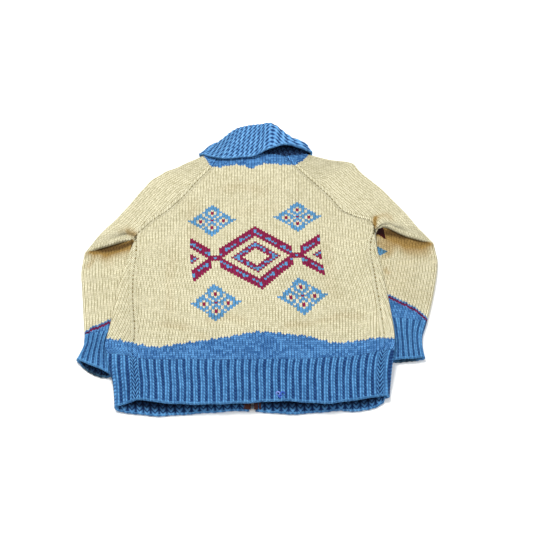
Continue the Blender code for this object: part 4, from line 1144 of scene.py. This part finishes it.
def cloth_mesh(name, sheet):
    """The wall as a mesh with its stitches and what its material measures."""
    points, faces, spots = wall(sheet)
    used = np.unique(faces)
    renumber = np.full(len(points), -1)
    renumber[used] = np.arange(len(used))
    faces, points = renumber[faces], points[used]
    a, b, c, d = points[faces].transpose(1, 0, 2)
    volume = np.einsum("ij,ij->i", a, np.cross(b, c)).sum() + np.einsum("ij,ij->i", a, np.cross(c, d)).sum()
    if volume < 0:
        faces, spots = faces[:, ::-1], spots[:, ::-1]
    mesh = bpy.data.meshes.new(name)
    mesh.vertices.add(len(points))
    mesh.vertices.foreach_set("co", ((points + SHIFT) * MM).astype(np.float32).ravel())
    mesh.loops.add(faces.size)
    mesh.loops.foreach_set("vertex_index", faces.ravel().astype(np.int32))
    mesh.polygons.add(len(faces))
    mesh.polygons.foreach_set("loop_start", (np.arange(len(faces)) * 4).astype(np.int32))
    mesh.update(calc_edges=True)
    mesh.shade_smooth()
    stitches = np.stack([sheet.u.ravel()[spots.ravel()], sheet.v.ravel()[spots.ravel()]], axis=1)
    mesh.uv_layers.new(name="stitch").data.foreach_set("uv", stitches.astype(np.float32).ravel())
    count = sheet.rise.size
    measures = {key: getattr(sheet, key).ravel()[used % count] for key in ("edge", "seam", "hollow", "tip")}
    measures["inside"] = used >= count
    for label, values in measures.items():
        mesh.attributes.new(label, "FLOAT", "POINT").data.foreach_set("value", values.astype(np.float32))
    return mesh


def cloth(name, sheet, material, nodes):
    """One piece of cloth, laid on the floor."""
    mesh = cloth_mesh(name, sheet)
    mesh.materials.append(material)
    mesh.validate()
    obj = bpy.data.objects.new(name, mesh)
    bpy.context.scene.collection.objects.link(obj)
    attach(obj, "garment")
    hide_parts(*nodes)


# ---- materials ----


def colour(hex_code):
    """sRGB hex to the linear colour that a shader takes."""
    parts = [int(hex_code[i : i + 2], 16) / 255 for i in (1, 3, 5)]
    return tuple(p / 12.92 if p <= 0.04045 else ((p + 0.055) / 1.055) ** 2.4 for p in parts) + (1.0,)


CREAM = "#F4F0D3"
BLUE = "#609ED3"
PANEL_BLUE = "#6DAFEC"
COLLAR_BLUE = "#72AEE4"
PATTERN_BLUE = "#66AAEA"
MAROON = "#9A2457"
SHADED_TIP_MAROON = "#5A1030"  # maroon darkened by painted shade, for the tips in the shade beside the body
WHITE = "#F2ECD4"
# What a colour is multiplied by: painted shade deep between the stitches,
CREAM_PIT_SHADE = (0.30, 0.24, 0.11, 1.0)
BLUE_PIT_SHADE = (0.06, 0.11, 0.22, 1.0)
# in the darkest stitches,
CREAM_TINT = (0.70, 0.69, 0.62, 1.0)
BLUE_TINT = (0.20, 0.32, 0.46, 1.0)
RIB_TINT = (0.46, 0.56, 0.66, 1.0)
YARN_TINT = (0.40, 0.45, 0.60, 1.0)
# in the painted warm shade under a sleeve's fold or a cuff's upper half, in the deepest of it,
CREAM_PAINTED_SHADE = (0.56, 0.38, 0.17, 1.0)
RIB_PAINTED_SHADE = (0.40, 0.36, 0.30, 1.0)
DEEPEST_PAINTED_SHADE = (0.30, 0.26, 0.24, 1.0)
# and painted shade inside the garment, away from its edge
INSIDE_SHADE = (0.12, 0.14, 0.18, 1.0)
# Cells of the noises in a metre of cloth
SWELLS = 70.0  # 14 mm each, about two stitches: the unevenness of hand knitting
CLOUDS = 14.0  # 71 mm: darker and lighter wool
HAIRS = 420.0  # 2.4 mm: tufts of hair, coarser than real ones so that they show
STRANDS = 1500.0  # 0.7 mm: strands of the yarn
PLIES = 900.0  # 1.1 mm: the loose yarn's plies, and threads of the zip's tape
SCRATCHES = 700.0  # 1.4 mm: wear on the zip
TWILL = 6000.0  # radians in a metre, 1 mm from rib to rib
# The small diamond's chart, top row first: B blue, W white, M maroon
DIAMOND = (
    "........B........",
    ".......BBB.......",
    "......BBBBB......",
    "......BBWBB......",
    ".....BBWMWBB.....",
    "....BWBWMWBWB....",
    "...BBWBBWBBWBB...",
    "..BBBBWBBBWBBBB..",
    "..BBWBBWBWBBWBB..",
    "BBBWMWBBMBBWMWBBB",
    ".BBWMWBWBWBWMWBB.",
    "..BBWBWBBBWBWBB..",
    "...BBBWBWBWBBB...",
    "....BWBWMWBWB....",
    ".....BBWMWBB.....",
    "......BBWBB......",
    "......BBBBB......",
    ".......BBB.......",
    "........B........",
)
DIAMOND_MIDDLE = len(DIAMOND[0]) // 2
DIAMOND_BITS = 2.0 ** (DIAMOND_MIDDLE + 1)
# Columns: x, y of the four small diamonds' middles: upper left and right, lower left and right
DIAMOND_PLACES = ((-99, 97), (95, 108), (-85, -121), (102, -104))


class Graph:
    """A material's nodes. Outputs are Values, on which sums and tests are written as arithmetic."""

    def __init__(self, name):
        self.material = bpy.data.materials.new(name)
        self.material.use_nodes = True
        self.tree = self.material.node_tree

    def put(self, socket, value):
        if isinstance(value, Value):
            self.tree.links.new(value.socket, socket)
        else:
            socket.default_value = value

    def node(self, kind, inputs, *outputs, **settings):
        """Adds a node with its settings and links, and gives the outputs named, or the first."""
        made = self.tree.nodes.new(kind)
        for key, value in settings.items():
            setattr(made, key, value)
        for key, value in inputs.items():
            self.put(made.inputs[key], value)
        values = [Value(self, made.outputs[key]) for key in outputs or (0,)]
        return values if len(values) > 1 else values[0]

    def finish(self, sockets):
        for key, value in sockets.items():
            self.put(self.tree.nodes["Principled BSDF"].inputs[key], value)
        return self.material


class Value:
    """One output of a node."""

    def __init__(self, graph, socket):
        self.graph, self.socket = graph, socket

    def clipped(self):
        made = self + 0.0
        made.socket.node.use_clamp = True
        return made


def written(operation, backwards):
    """What a sign or a name does to a Value: it adds one node, with the terms in the order written."""

    def result(value, *others):
        terms = (*others, value) if backwards else (value, *others)
        return value.graph.node("ShaderNodeMath", dict(enumerate(terms)), operation=operation)

    return result


OPERATIONS = {
    "__add__": "ADD",
    "__radd__": "ADD",
    "__sub__": "SUBTRACT",
    "__rsub__": "SUBTRACT",
    "__mul__": "MULTIPLY",
    "__rmul__": "MULTIPLY",
    "__truediv__": "DIVIDE",
    "__mod__": "FLOORED_MODULO",
    "__pow__": "POWER",
    "__rpow__": "POWER",
    "__abs__": "ABSOLUTE",
    "__lt__": "LESS_THAN",
    "__gt__": "GREATER_THAN",
    "floor": "FLOOR",
    "part": "FRACT",
    "sine": "SINE",
    "most": "MAXIMUM",
    "near": "COMPARE",
}
for way_written, operation in OPERATIONS.items():
    setattr(Value, way_written, written(operation, way_written in ("__rsub__", "__rpow__")))


def ridge(value):
    """1 at every whole number, 0 halfway between, and straight between those."""
    return abs(value.part() * 2.0 - 1.0)


def knots(along):
    """0 at every whole number and 1 halfway between, rounded there."""
    return 1.0 - ridge(along) ** 2.0


def by_chance(g, along):
    """An uneven share, the same from one whole number to the next."""
    return g.node("ShaderNodeTexWhiteNoise", {"W": along.floor()}, "Value", noise_dimensions="1D")


def layered(g, shown, layers, blend="MIX"):
    """Each colour laid over what is there, or multiplied into it, as far as its amount says."""
    for amount, laid in layers:
        inputs = {0: amount, 6: shown, 7: laid}  # a mix node's colours share their names with its numbers
        shown = g.node("ShaderNodeMix", inputs, 2, data_type="RGBA", blend_type=blend)
    return shown


def stitch_space(g, sway=0.16):
    """u, and v bent into the V of a knit stitch, both in stitches, a little uneven as hand knitting is."""
    place = g.node("ShaderNodeTexCoord", {}, "Object")
    swell = g.node("ShaderNodeTexNoise", {"Vector": place, "Scale": SWELLS, "Detail": 1.0}, "Color")
    moved_u, moved_v = g.node("ShaderNodeSeparateXYZ", {"Vector": swell}, "X", "Y")
    stitch = g.node("ShaderNodeUVMap", {}, uv_map="stitch")
    even_u, even_v = g.node("ShaderNodeSeparateXYZ", {"Vector": stitch}, "X", "Y")
    u = even_u + (moved_u - 0.5) * sway
    v = even_v + (moved_v - 0.5) * sway * 2.0
    return u, v, v - ridge(u) * 0.6


def knit_height(u, bent):
    """Two plump legs to a stitch, each row's tucked into the one below, and a deep gap beside it."""
    wale = ridge(u)
    leg = (1.0 - abs(wale * 2.0 - 1.0) ** 2.2).most((1.0 - wale) * 0.5)
    along = 1.0 - ridge(bent) ** 2.4
    return leg * (along * 0.6 + 0.4) * (1.0 - wale**7.0 * 0.8)


def wool(g, base, height, u, bent, pit_shade, tint, shade=CREAM_PAINTED_SHADE, depth=1.9, full=0.8, within=0.08, legs=2.0):
    """Bulky wool: colour by stitch and by cloud, painted shade in pits, inside and under folds, fuzz, soft
    sheen.

    depth is the stitches' relief in millimetres, full the height above which the pits' painted shade ends,
    within how fast the painted shade inside grows, and legs how many legs of a stitch have a tone of their
    own.
    """
    place = g.node("ShaderNodeTexCoord", {}, "Object")
    cloud = g.node("ShaderNodeTexNoise", {"Vector": place, "Scale": CLOUDS, "Detail": 3.0}, "Fac")
    fine = {"Vector": place, "Scale": STRANDS, "Detail": 2.0, "Roughness": 0.7}
    strands = g.node("ShaderNodeTexNoise", fine, "Fac")
    tufts = {"Vector": place, "Scale": HAIRS, "Detail": 4.0, "Distortion": 1.2}
    hairs = g.node("ShaderNodeTexNoise", tufts, "Fac")
    cell = g.node("ShaderNodeCombineXYZ", {"X": (u * legs).floor(), "Y": bent.floor()})
    chance = g.node("ShaderNodeTexWhiteNoise", {"Vector": cell}, "Value", noise_dimensions="2D")
    fuzz = strands - 0.5
    inside = g.node("ShaderNodeAttribute", {}, "Fac", attribute_name="inside")
    edge = g.node("ShaderNodeAttribute", {}, "Fac", attribute_name="edge")
    hollow = g.node("ShaderNodeAttribute", {}, "Fac", attribute_name="hollow")
    # darker by random tone per stitch and cloud, then by painted shade inside the garment, between the
    # stitches, under folds, and more where that is deepest
    shades = (
        (chance * 0.9 + cloud * 0.6 + fuzz - 0.35, tint),
        (inside * edge * within, INSIDE_SHADE),
        ((full - height) * 1.35 + fuzz * 0.35, pit_shade),
        (hollow, shade),
        (hollow - 1.0, DEEPEST_PAINTED_SHADE),
    )
    shown = layered(g, base, [(amount.clipped(), tone) for amount, tone in shades], "MULTIPLY")
    relief = height * depth + strands * 0.3 + hairs * 0.5
    sockets = {
        "Base Color": shown,
        "Roughness": hairs * 0.12 + 0.84,
        "Specular IOR Level": 0.15,
        "Sheen Weight": 0.12,
        "Sheen Roughness": 0.6,
        "Sheen Tint": shown,
        "Normal": g.node("ShaderNodeBump", {"Height": relief, "Strength": 1.0, "Distance": MM}),
    }
    return g.finish(sockets)


def diamond_rows(g, q):
    """Red, green and blue hold a row's blue, white and maroon stitches as bits, the middle stitch first."""
    count = len(DIAMOND)
    shown = g.node("ShaderNodeValToRGB", {"Fac": (q + count / 2) / float(count)}, "Color")
    ramp = shown.socket.node.color_ramp
    ramp.interpolation = "CONSTANT"
    while len(ramp.elements) < count:
        ramp.elements.new(0.5)
    for k, row in enumerate(DIAMOND[::-1]):
        half = row[DIAMOND_MIDDLE:]
        bits = [sum(2**p for p, stitch in enumerate(half) if stitch == tone) / DIAMOND_BITS for tone in "BWM"]
        ramp.elements[k].position = k / count
        ramp.elements[k].color = (*bits, 1.0)
    return g.node("ShaderNodeSeparateColor", {"Color": shown}, "Red", "Green", "Blue")


def pattern(g, u, bent):
    """The knitted chart on cream: cells are whole stitches, counted from the middle of the big diamond.

    The big diamond has a broad and a thin ring of maroon, each with a blue line, and a knot on both sides.
    The start of the same rings stands at each side, their middle 28 stitches out. Halves keep a test clear
    of the whole numbers that cells are counted in.
    """
    i, j = u.floor(), bent.floor()
    ai, aj = abs(i), abs(j)
    aside = abs(ai - 28.0)
    across = aside + (ai < 12.5) * (ai - aside)
    distance = across + aj
    within = (across < 12.5) * (ai < 22.5)
    band = within * (distance > 11.5) * (distance < 17.5)
    thin = within * (across < 9.5) * (distance > 4.5) * (distance < 8.7)
    broken = 1.0 - ((i + j * 2.0) % 5.0).near(0.0, 0.1)
    band_line = band * (distance.near(14.0, 0.1) * broken + distance.near(15.0, 0.1) * (1.0 - broken))
    thin_line = thin * (distance.near(7.0, 0.1) * broken + distance.near(6.0, 0.1) * (i % 3.0).near(0.0, 0.1))
    knot = ai.near(14.0, 1.1) * (aj < 1.5) + ai.near(14.0, 2.1) * (aj < 0.5)
    knot_line = ai.near(14.0, 0.1) * (aj < 0.5)
    left, low = i < 0.0, j < 0.0
    spots = [[round(float(value)) for value in body_stitches(x, y)] for x, y in DIAMOND_PLACES]
    centres = []
    for axis in (0, 1):
        ul, ur, dl, dr = (spot[axis] for spot in spots)
        centres.append(left * (ul - ur) + low * (dr - ur) + left * low * (dl - dr - ul + ur) + float(ur))
    p, q = abs(i - centres[0]), j - centres[1]
    inside = (p < DIAMOND_MIDDLE + 0.5) * (abs(q) < len(DIAMOND) / 2)
    shift = 2.0**p
    tones = diamond_rows(g, q)
    blue, white, maroon = (inside * ((tone * DIAMOND_BITS / shift).floor() % 2.0) for tone in tones)
    maroon = (band + thin + knot).clipped() + maroon
    blue = (band_line + thin_line + knot_line).clipped() + blue
    knitted = ((maroon, MAROON), (blue, PATTERN_BLUE), (white, WHITE))
    return layered(g, colour(CREAM), [(where.clipped(), colour(dye)) for where, dye in knitted])


def seamed(g, v, height, reach=8.0, pull=1.3, rate=1.0, depth=0.9):
    """A column of chevrons along a sewn edge, and low gaps every other row where the yarn pulls, dark by
    painted shade.
    """
    seam = g.node("ShaderNodeAttribute", {}, "Fac", attribute_name="seam")
    chevron = 1.0 - ridge(v * rate - seam * 0.22 * rate) ** 1.6
    height = height + (seam < reach) * (chevron * depth + 0.95 - depth - height)
    hole = (1.0 - seam * 0.5).clipped() * ((v * math.pi).sine() * 0.5 + 0.5) ** 1.5
    hole = hole * (by_chance(g, v * 0.5) * 0.7 + 0.3)
    groove = (1.0 - abs(seam - reach) * 1.2).clipped() * 0.35
    return (height - hole * pull - groove).most(0.0)


def panel_material(name, with_pattern=False, line=False):
    """Cream stockinette knitted into blue at the colour edges, with the chart or the cuff's red line.

    Hand knitting in bulky wool: matt, with soft plump V stitches and painted shade in the pits between them.
    """
    g = Graph(name)
    u, v, bent = stitch_space(g)
    height = seamed(g, v, knit_height(u, bent))
    edge = g.node("ShaderNodeAttribute", {}, "Fac", attribute_name="edge") - ridge(u) * 0.9
    blue = edge < 0.0
    if with_pattern:
        ground = pattern(g, u, bent)
    else:
        tip = g.node("ShaderNodeAttribute", {}, "Fac", attribute_name="tip") + (u.part() - 0.5) * 0.3
        tips_shown = ((tip > 0.5, colour(SHADED_TIP_MAROON)), (tip < -0.5, colour(PATTERN_BLUE)))
        ground = layered(g, colour(CREAM), tips_shown)
    base = layered(g, ground, [(blue, colour(PANEL_BLUE))])
    if line:
        base = layered(g, base, [((edge < -0.9) * (edge > -2.2), colour(MAROON))])
    pit_shade, tint = layered(g, CREAM_PIT_SHADE, [(blue, BLUE_PIT_SHADE)]), layered(g, CREAM_TINT, [(blue, BLUE_TINT)])
    return wool(g, base, height, u, bent, pit_shade, tint, full=blue * 0.12 + 0.8, legs=2.0 - blue)


def rib_wool(g, u, v, bent, height, depth, blue, full, within):
    """The wrong side's chevrons, the seam and the bound-off cord are the same on every ribbed piece."""
    turn = ridge(u + 0.5)
    chevron = knots(v * 0.7 - turn * 0.9) * (1.0 - turn**3.0)
    inside = g.node("ShaderNodeAttribute", {}, "Fac", attribute_name="inside")
    height = height + (inside > 0.5) * (chevron - height)
    height = seamed(g, v, height, reach=6.5, pull=0.6, rate=0.8, depth=1.25)
    edge = g.node("ShaderNodeAttribute", {}, "Fac", attribute_name="edge")
    cord = (1.0 - abs(edge - 1.0) * 0.4).clipped()
    height = height.most(cord * (knots(u * 2.0) * 0.3 + 0.7))
    looks = {"depth": depth, "full": full, "within": within}
    return wool(g, colour(blue), height, u * 1.5, bent, BLUE_PIT_SHADE, RIB_TINT, RIB_PAINTED_SHADE, **looks)


def rib_material(name, within, full):
    """Blue ribbing in bulky wool: a smooth leg, a knotty leg and the groove between ribs, dark by painted
    shade.
    """
    g = Graph(name)
    u, v, bent = stitch_space(g, sway=0.07)
    t, along = u.part(), v + by_chance(g, u)
    smooth_leg = (1.0 - abs(t - SMOOTH_LEG) ** 2.0 * 24.0).most(0.0) * (knots(along - t * 0.9) * 0.4 + 0.6)
    knotty_leg = (1.0 - abs(t - KNOTTY_LEG) ** 2.0 * 24.0).most(0.0) * (knots(along + t * 1.6) * 0.8 + 0.2)
    between = (t > SMOOTH_LEG) * (t < KNOTTY_LEG) * 0.42
    crossing = (1.0 - ridge(along + 0.5) ** 1.3) * 0.32
    height = smooth_leg.most(knotty_leg).most(between).most(crossing)
    return rib_wool(g, u, v, bent, height, 1.9, BLUE, full, within)


def collar_material(name):
    """Blue moss-like ribbing: holes dark by painted shade in slanting lines between plump knots."""
    g = Graph(name)
    u, v, bent = stitch_space(g, sway=0.06)
    slant = (u * 0.05).clipped() + 0.3
    hole = ridge(v * 0.66 - u.part() * slant) ** 1.5
    groove = ridge(u)
    height = (1.0 - groove**2.0 * 0.3 - hole * 0.45 - groove * hole * 1.0).most(0.0)
    return rib_wool(g, u, v, bent, height, 2.2, COLLAR_BLUE, 0.9, 0.3)


def yarn_material(name, hex_code):
    """Loose plied yarn: fuzz and soft sheen."""
    g = Graph(name)
    place = g.node("ShaderNodeTexCoord", {}, "Object")
    fuzz = g.node("ShaderNodeTexNoise", {"Vector": place, "Scale": PLIES, "Detail": 3.0}, "Fac")
    light = colour(hex_code)
    dark = tuple(part * tint for part, tint in zip(light, YARN_TINT))
    bump = g.node("ShaderNodeBump", {"Height": fuzz, "Strength": 0.8, "Distance": 0.8 * MM})
    shown = layered(g, dark, [(fuzz, light)])
    return g.finish({"Base Color": shown, "Roughness": 0.9, "Sheen Weight": 0.15, "Normal": bump})


def tape_material():
    """Brown woven zip tape: a fine matt twill."""
    g = Graph("zip_tape_twill")
    place = g.node("ShaderNodeTexCoord", {}, "Object")
    x, y = g.node("ShaderNodeSeparateXYZ", {"Vector": place}, "X", "Y")
    twill = ((x + y) * TWILL).sine() * 0.5 + 0.5
    noise = g.node("ShaderNodeTexNoise", {"Vector": place, "Scale": PLIES}, "Fac")
    lit = (twill * 0.5 + noise * 0.5).clipped()
    shown = layered(g, colour("#3A1A16"), [(lit, colour("#5A2C22"))])
    bump = g.node("ShaderNodeBump", {"Height": twill, "Strength": 0.6, "Distance": 0.3 * MM})
    return g.finish({"Base Color": shown, "Roughness": 0.85, "Normal": bump})


def metal_material():
    """Worn nickel-plated zip metal: bright, with duller patches."""
    g = Graph("worn_zip_metal")
    place = g.node("ShaderNodeTexCoord", {}, "Object")
    wear = g.node("ShaderNodeTexNoise", {"Vector": place, "Scale": SCRATCHES, "Detail": 4.0}, "Fac")
    shown = layered(g, colour("#B8B2A6"), [(wear.clipped(), colour("#D9D6CE"))])
    return g.finish({"Base Color": shown, "Metallic": 1.0, "Roughness": wear * 0.25 + 0.22})


def paper_material():
    """Pale matt paper floor."""
    return Graph("pale_floor").finish({"Base Color": colour("#F4F4F2"), "Roughness": 0.9})


# ---- zip and mend ----

TOOTH = (3.7, 1.15, 2.4)  # across the zip, along it, thick
TOOTH_BEVEL = 0.2
TOOTH_STEP = 1.2
CHAIN_HALF = 3.0  # from the zip's middle to the teeth's outer ends
YARN_RADIUS = 1.5


def zip_teeth(material):
    """Two rows of teeth that mesh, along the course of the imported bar."""
    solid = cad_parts["zip_teeth"]
    corners = np.array([tuple(solid.matrix_world @ vertex.co) for vertex in solid.data.vertices])
    stations = np.unique(corners[:, 1].round(4))
    heights = [corners[abs(corners[:, 1] - y) < 2e-4, 2].mean() for y in stations]
    middle = (corners[:, 0].min() + corners[:, 0].max()) / 2
    bpy.ops.object.select_all(action="DESELECT")
    bpy.ops.mesh.primitive_cube_add(size=1, location=(0, 0, 0))
    teeth = bpy.context.object
    teeth.name = teeth.data.name = "zip_teeth_rows"
    bpy.ops.object.mode_set(mode="EDIT")
    bpy.ops.mesh.delete(type="VERT")
    length, width, height = (size * MM for size in TOOTH)
    at, side = stations[0] + width / 2, 1.0
    while at < stations[-1] - width / 2:
        place = (middle + side * (CHAIN_HALF * MM - length / 2), at, float(np.interp(at, stations, heights)))
        bpy.ops.mesh.primitive_cube_add(size=1, location=place, scale=(length, width, height))
        at, side = at + TOOTH_STEP * MM, -side
    bpy.ops.mesh.select_all(action="SELECT")
    bpy.ops.mesh.bevel(offset=TOOTH_BEVEL * MM, segments=1)
    bpy.ops.object.mode_set(mode="OBJECT")
    teeth.data.materials.append(material)
    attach(teeth, "garment")
    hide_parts("zip_teeth")


def yarn_knot(name, material, loops):
    """Loops of yarn that cross each other, joined into one piece. Columns: x, y, z, radius, two tilts."""
    made = []
    for x, y, z, radius, tilt_x, tilt_y in loops:
        bpy.ops.object.select_all(action="DESELECT")
        bpy.ops.mesh.primitive_torus_add(
            location=tuple((np.array((x, y, z)) + SHIFT) * MM),
            rotation=(math.radians(tilt_x), math.radians(tilt_y), 0),
            major_radius=radius * MM,
            minor_radius=YARN_RADIUS * MM,
            major_segments=28,
            minor_segments=10,
        )
        made.append(bpy.context.object)
    for loop in made:
        loop.select_set(True)
    bpy.context.view_layer.objects.active = made[0]
    bpy.ops.object.join()
    bpy.ops.object.transform_apply(location=True, rotation=True, scale=True)
    knot = bpy.context.object
    bpy.ops.object.shade_smooth()
    knot.name = knot.data.name = name
    knot.data.materials.append(material)
    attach(knot, "garment")


# ---- the garment ----

cream_back = panel_material("cream_stockinette_pattern", with_pattern=True)
cream = panel_material("cream_stockinette")
cream_sleeve = panel_material("cream_stockinette_sleeve", line=True)
blue_rib = rib_material("blue_ribbing", within=0.05, full=0.92)
blue_cuff = rib_material("blue_cuff_ribbing", within=0.3, full=0.82)
blue_collar = collar_material("blue_collar_ribbing")

back = back_sheet()
cloth("back_cloth", back, cream_back, ["back"])
fronts, sleeves = {}, {}
for side in SIGN:
    fronts[side], sleeves[side] = front_sheet(side), sleeve_sheet(side)
    panels = (
        ("front", fronts[side], cream, "cream_wool", (0.30, 0.55), 0.14),
        ("sleeve", sleeves[side], cream_sleeve, "cream_wool", (0.36, 0.50), 0.12),
        ("welt_front", front_welt_sheet(side), blue_rib, "blue_wool", (0.33, 0.115), None),
        ("cuff", cuff_sheet(side), blue_cuff, "blue_wool", (0.16, 0.09), None),
    )
    for name, sheet, material, slot, flat, area in panels:
        cloth(f"{name}_{side}_cloth", sheet, material, [f"{name}_{side}"])
cloth("welt_back_cloth", back_welt_sheet(), blue_rib, ["welt_back"])
cloth("collar_cloth", collar_sheet(back, fronts, sleeves), blue_collar, ["collar"])

tape, metal = tape_material(), metal_material()
zip_teeth(metal)
for name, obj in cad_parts.items():
    if name.startswith("zip_") and name != "zip_teeth":
        obj.data.materials.clear()
        obj.data.materials.append(tape if "tape" in name else metal)

royal, periwinkle = yarn_material("royal_blue_yarn", "#2F62C8"), yarn_material("periwinkle_yarn", "#8FA4EE")
yarn_knot("knot_royal", royal, ((60, -344, 28.5, 4.2, 25, 30), (54, -349, 28, 3.2, -30, 40)))
yarn_knot("knot_light", periwinkle, ((51, -343, 28.5, 3.6, 40, -20),))

# ---- floor, light and camera ----

FLOOR_Z = -0.0006
STUDIO_WHITE = (1.0, 1.0, 1.0, 1.0)
SENSOR = 36.0
FOCAL_PIXELS = 982
PICTURE_PIXELS = 533
CAMERA_PLACE = (0.014, -1.254, 1.769)
CAMERA_TILT = 35  # degrees from straight down


def area_light(name, place, size, power, tint):
    """A round lamp that looks at the middle of the garment."""
    light = bpy.data.lights.new(name, "AREA")
    light.shape = "DISK"
    light.size = size
    light.energy = power
    light.color = colour(tint)[:3]
    obj = bpy.data.objects.new(name, light)
    bpy.context.scene.collection.objects.link(obj)
    obj.location = place
    obj.rotation_euler = (-Vector(place)).to_track_quat("-Z", "Y").to_euler()


bpy.ops.object.select_all(action="DESELECT")
bpy.ops.mesh.primitive_plane_add(size=12, location=(0, 0, FLOOR_Z))
floor = bpy.context.object
floor.name = "floor"
floor.data.materials.append(paper_material())

area_light("key", (-0.5, 0.8, 2.4), 1.0, 70, "#FFFCF6")
area_light("fill", (0.6, -1.2, 2.6), 2.0, 34, "#F4F8FF")
world = bpy.data.worlds.new("studio")
bpy.context.scene.world = world
world.use_nodes = True
background = world.node_tree.nodes["Background"].inputs
background["Color"].default_value = STUDIO_WHITE
background["Strength"].default_value = 0.42
bpy.context.scene.view_settings.view_transform = "Standard"

camera = bpy.data.cameras.new("camera")
camera.sensor_width = SENSOR
camera.lens = FOCAL_PIXELS / PICTURE_PIXELS * SENSOR
camera.clip_start, camera.clip_end = 0.05, 50
eye = bpy.data.objects.new("camera", camera)
bpy.context.scene.collection.objects.link(eye)
eye.location = CAMERA_PLACE
eye.rotation_euler = (math.radians(CAMERA_TILT), 0, 0)
bpy.context.scene.camera = eye
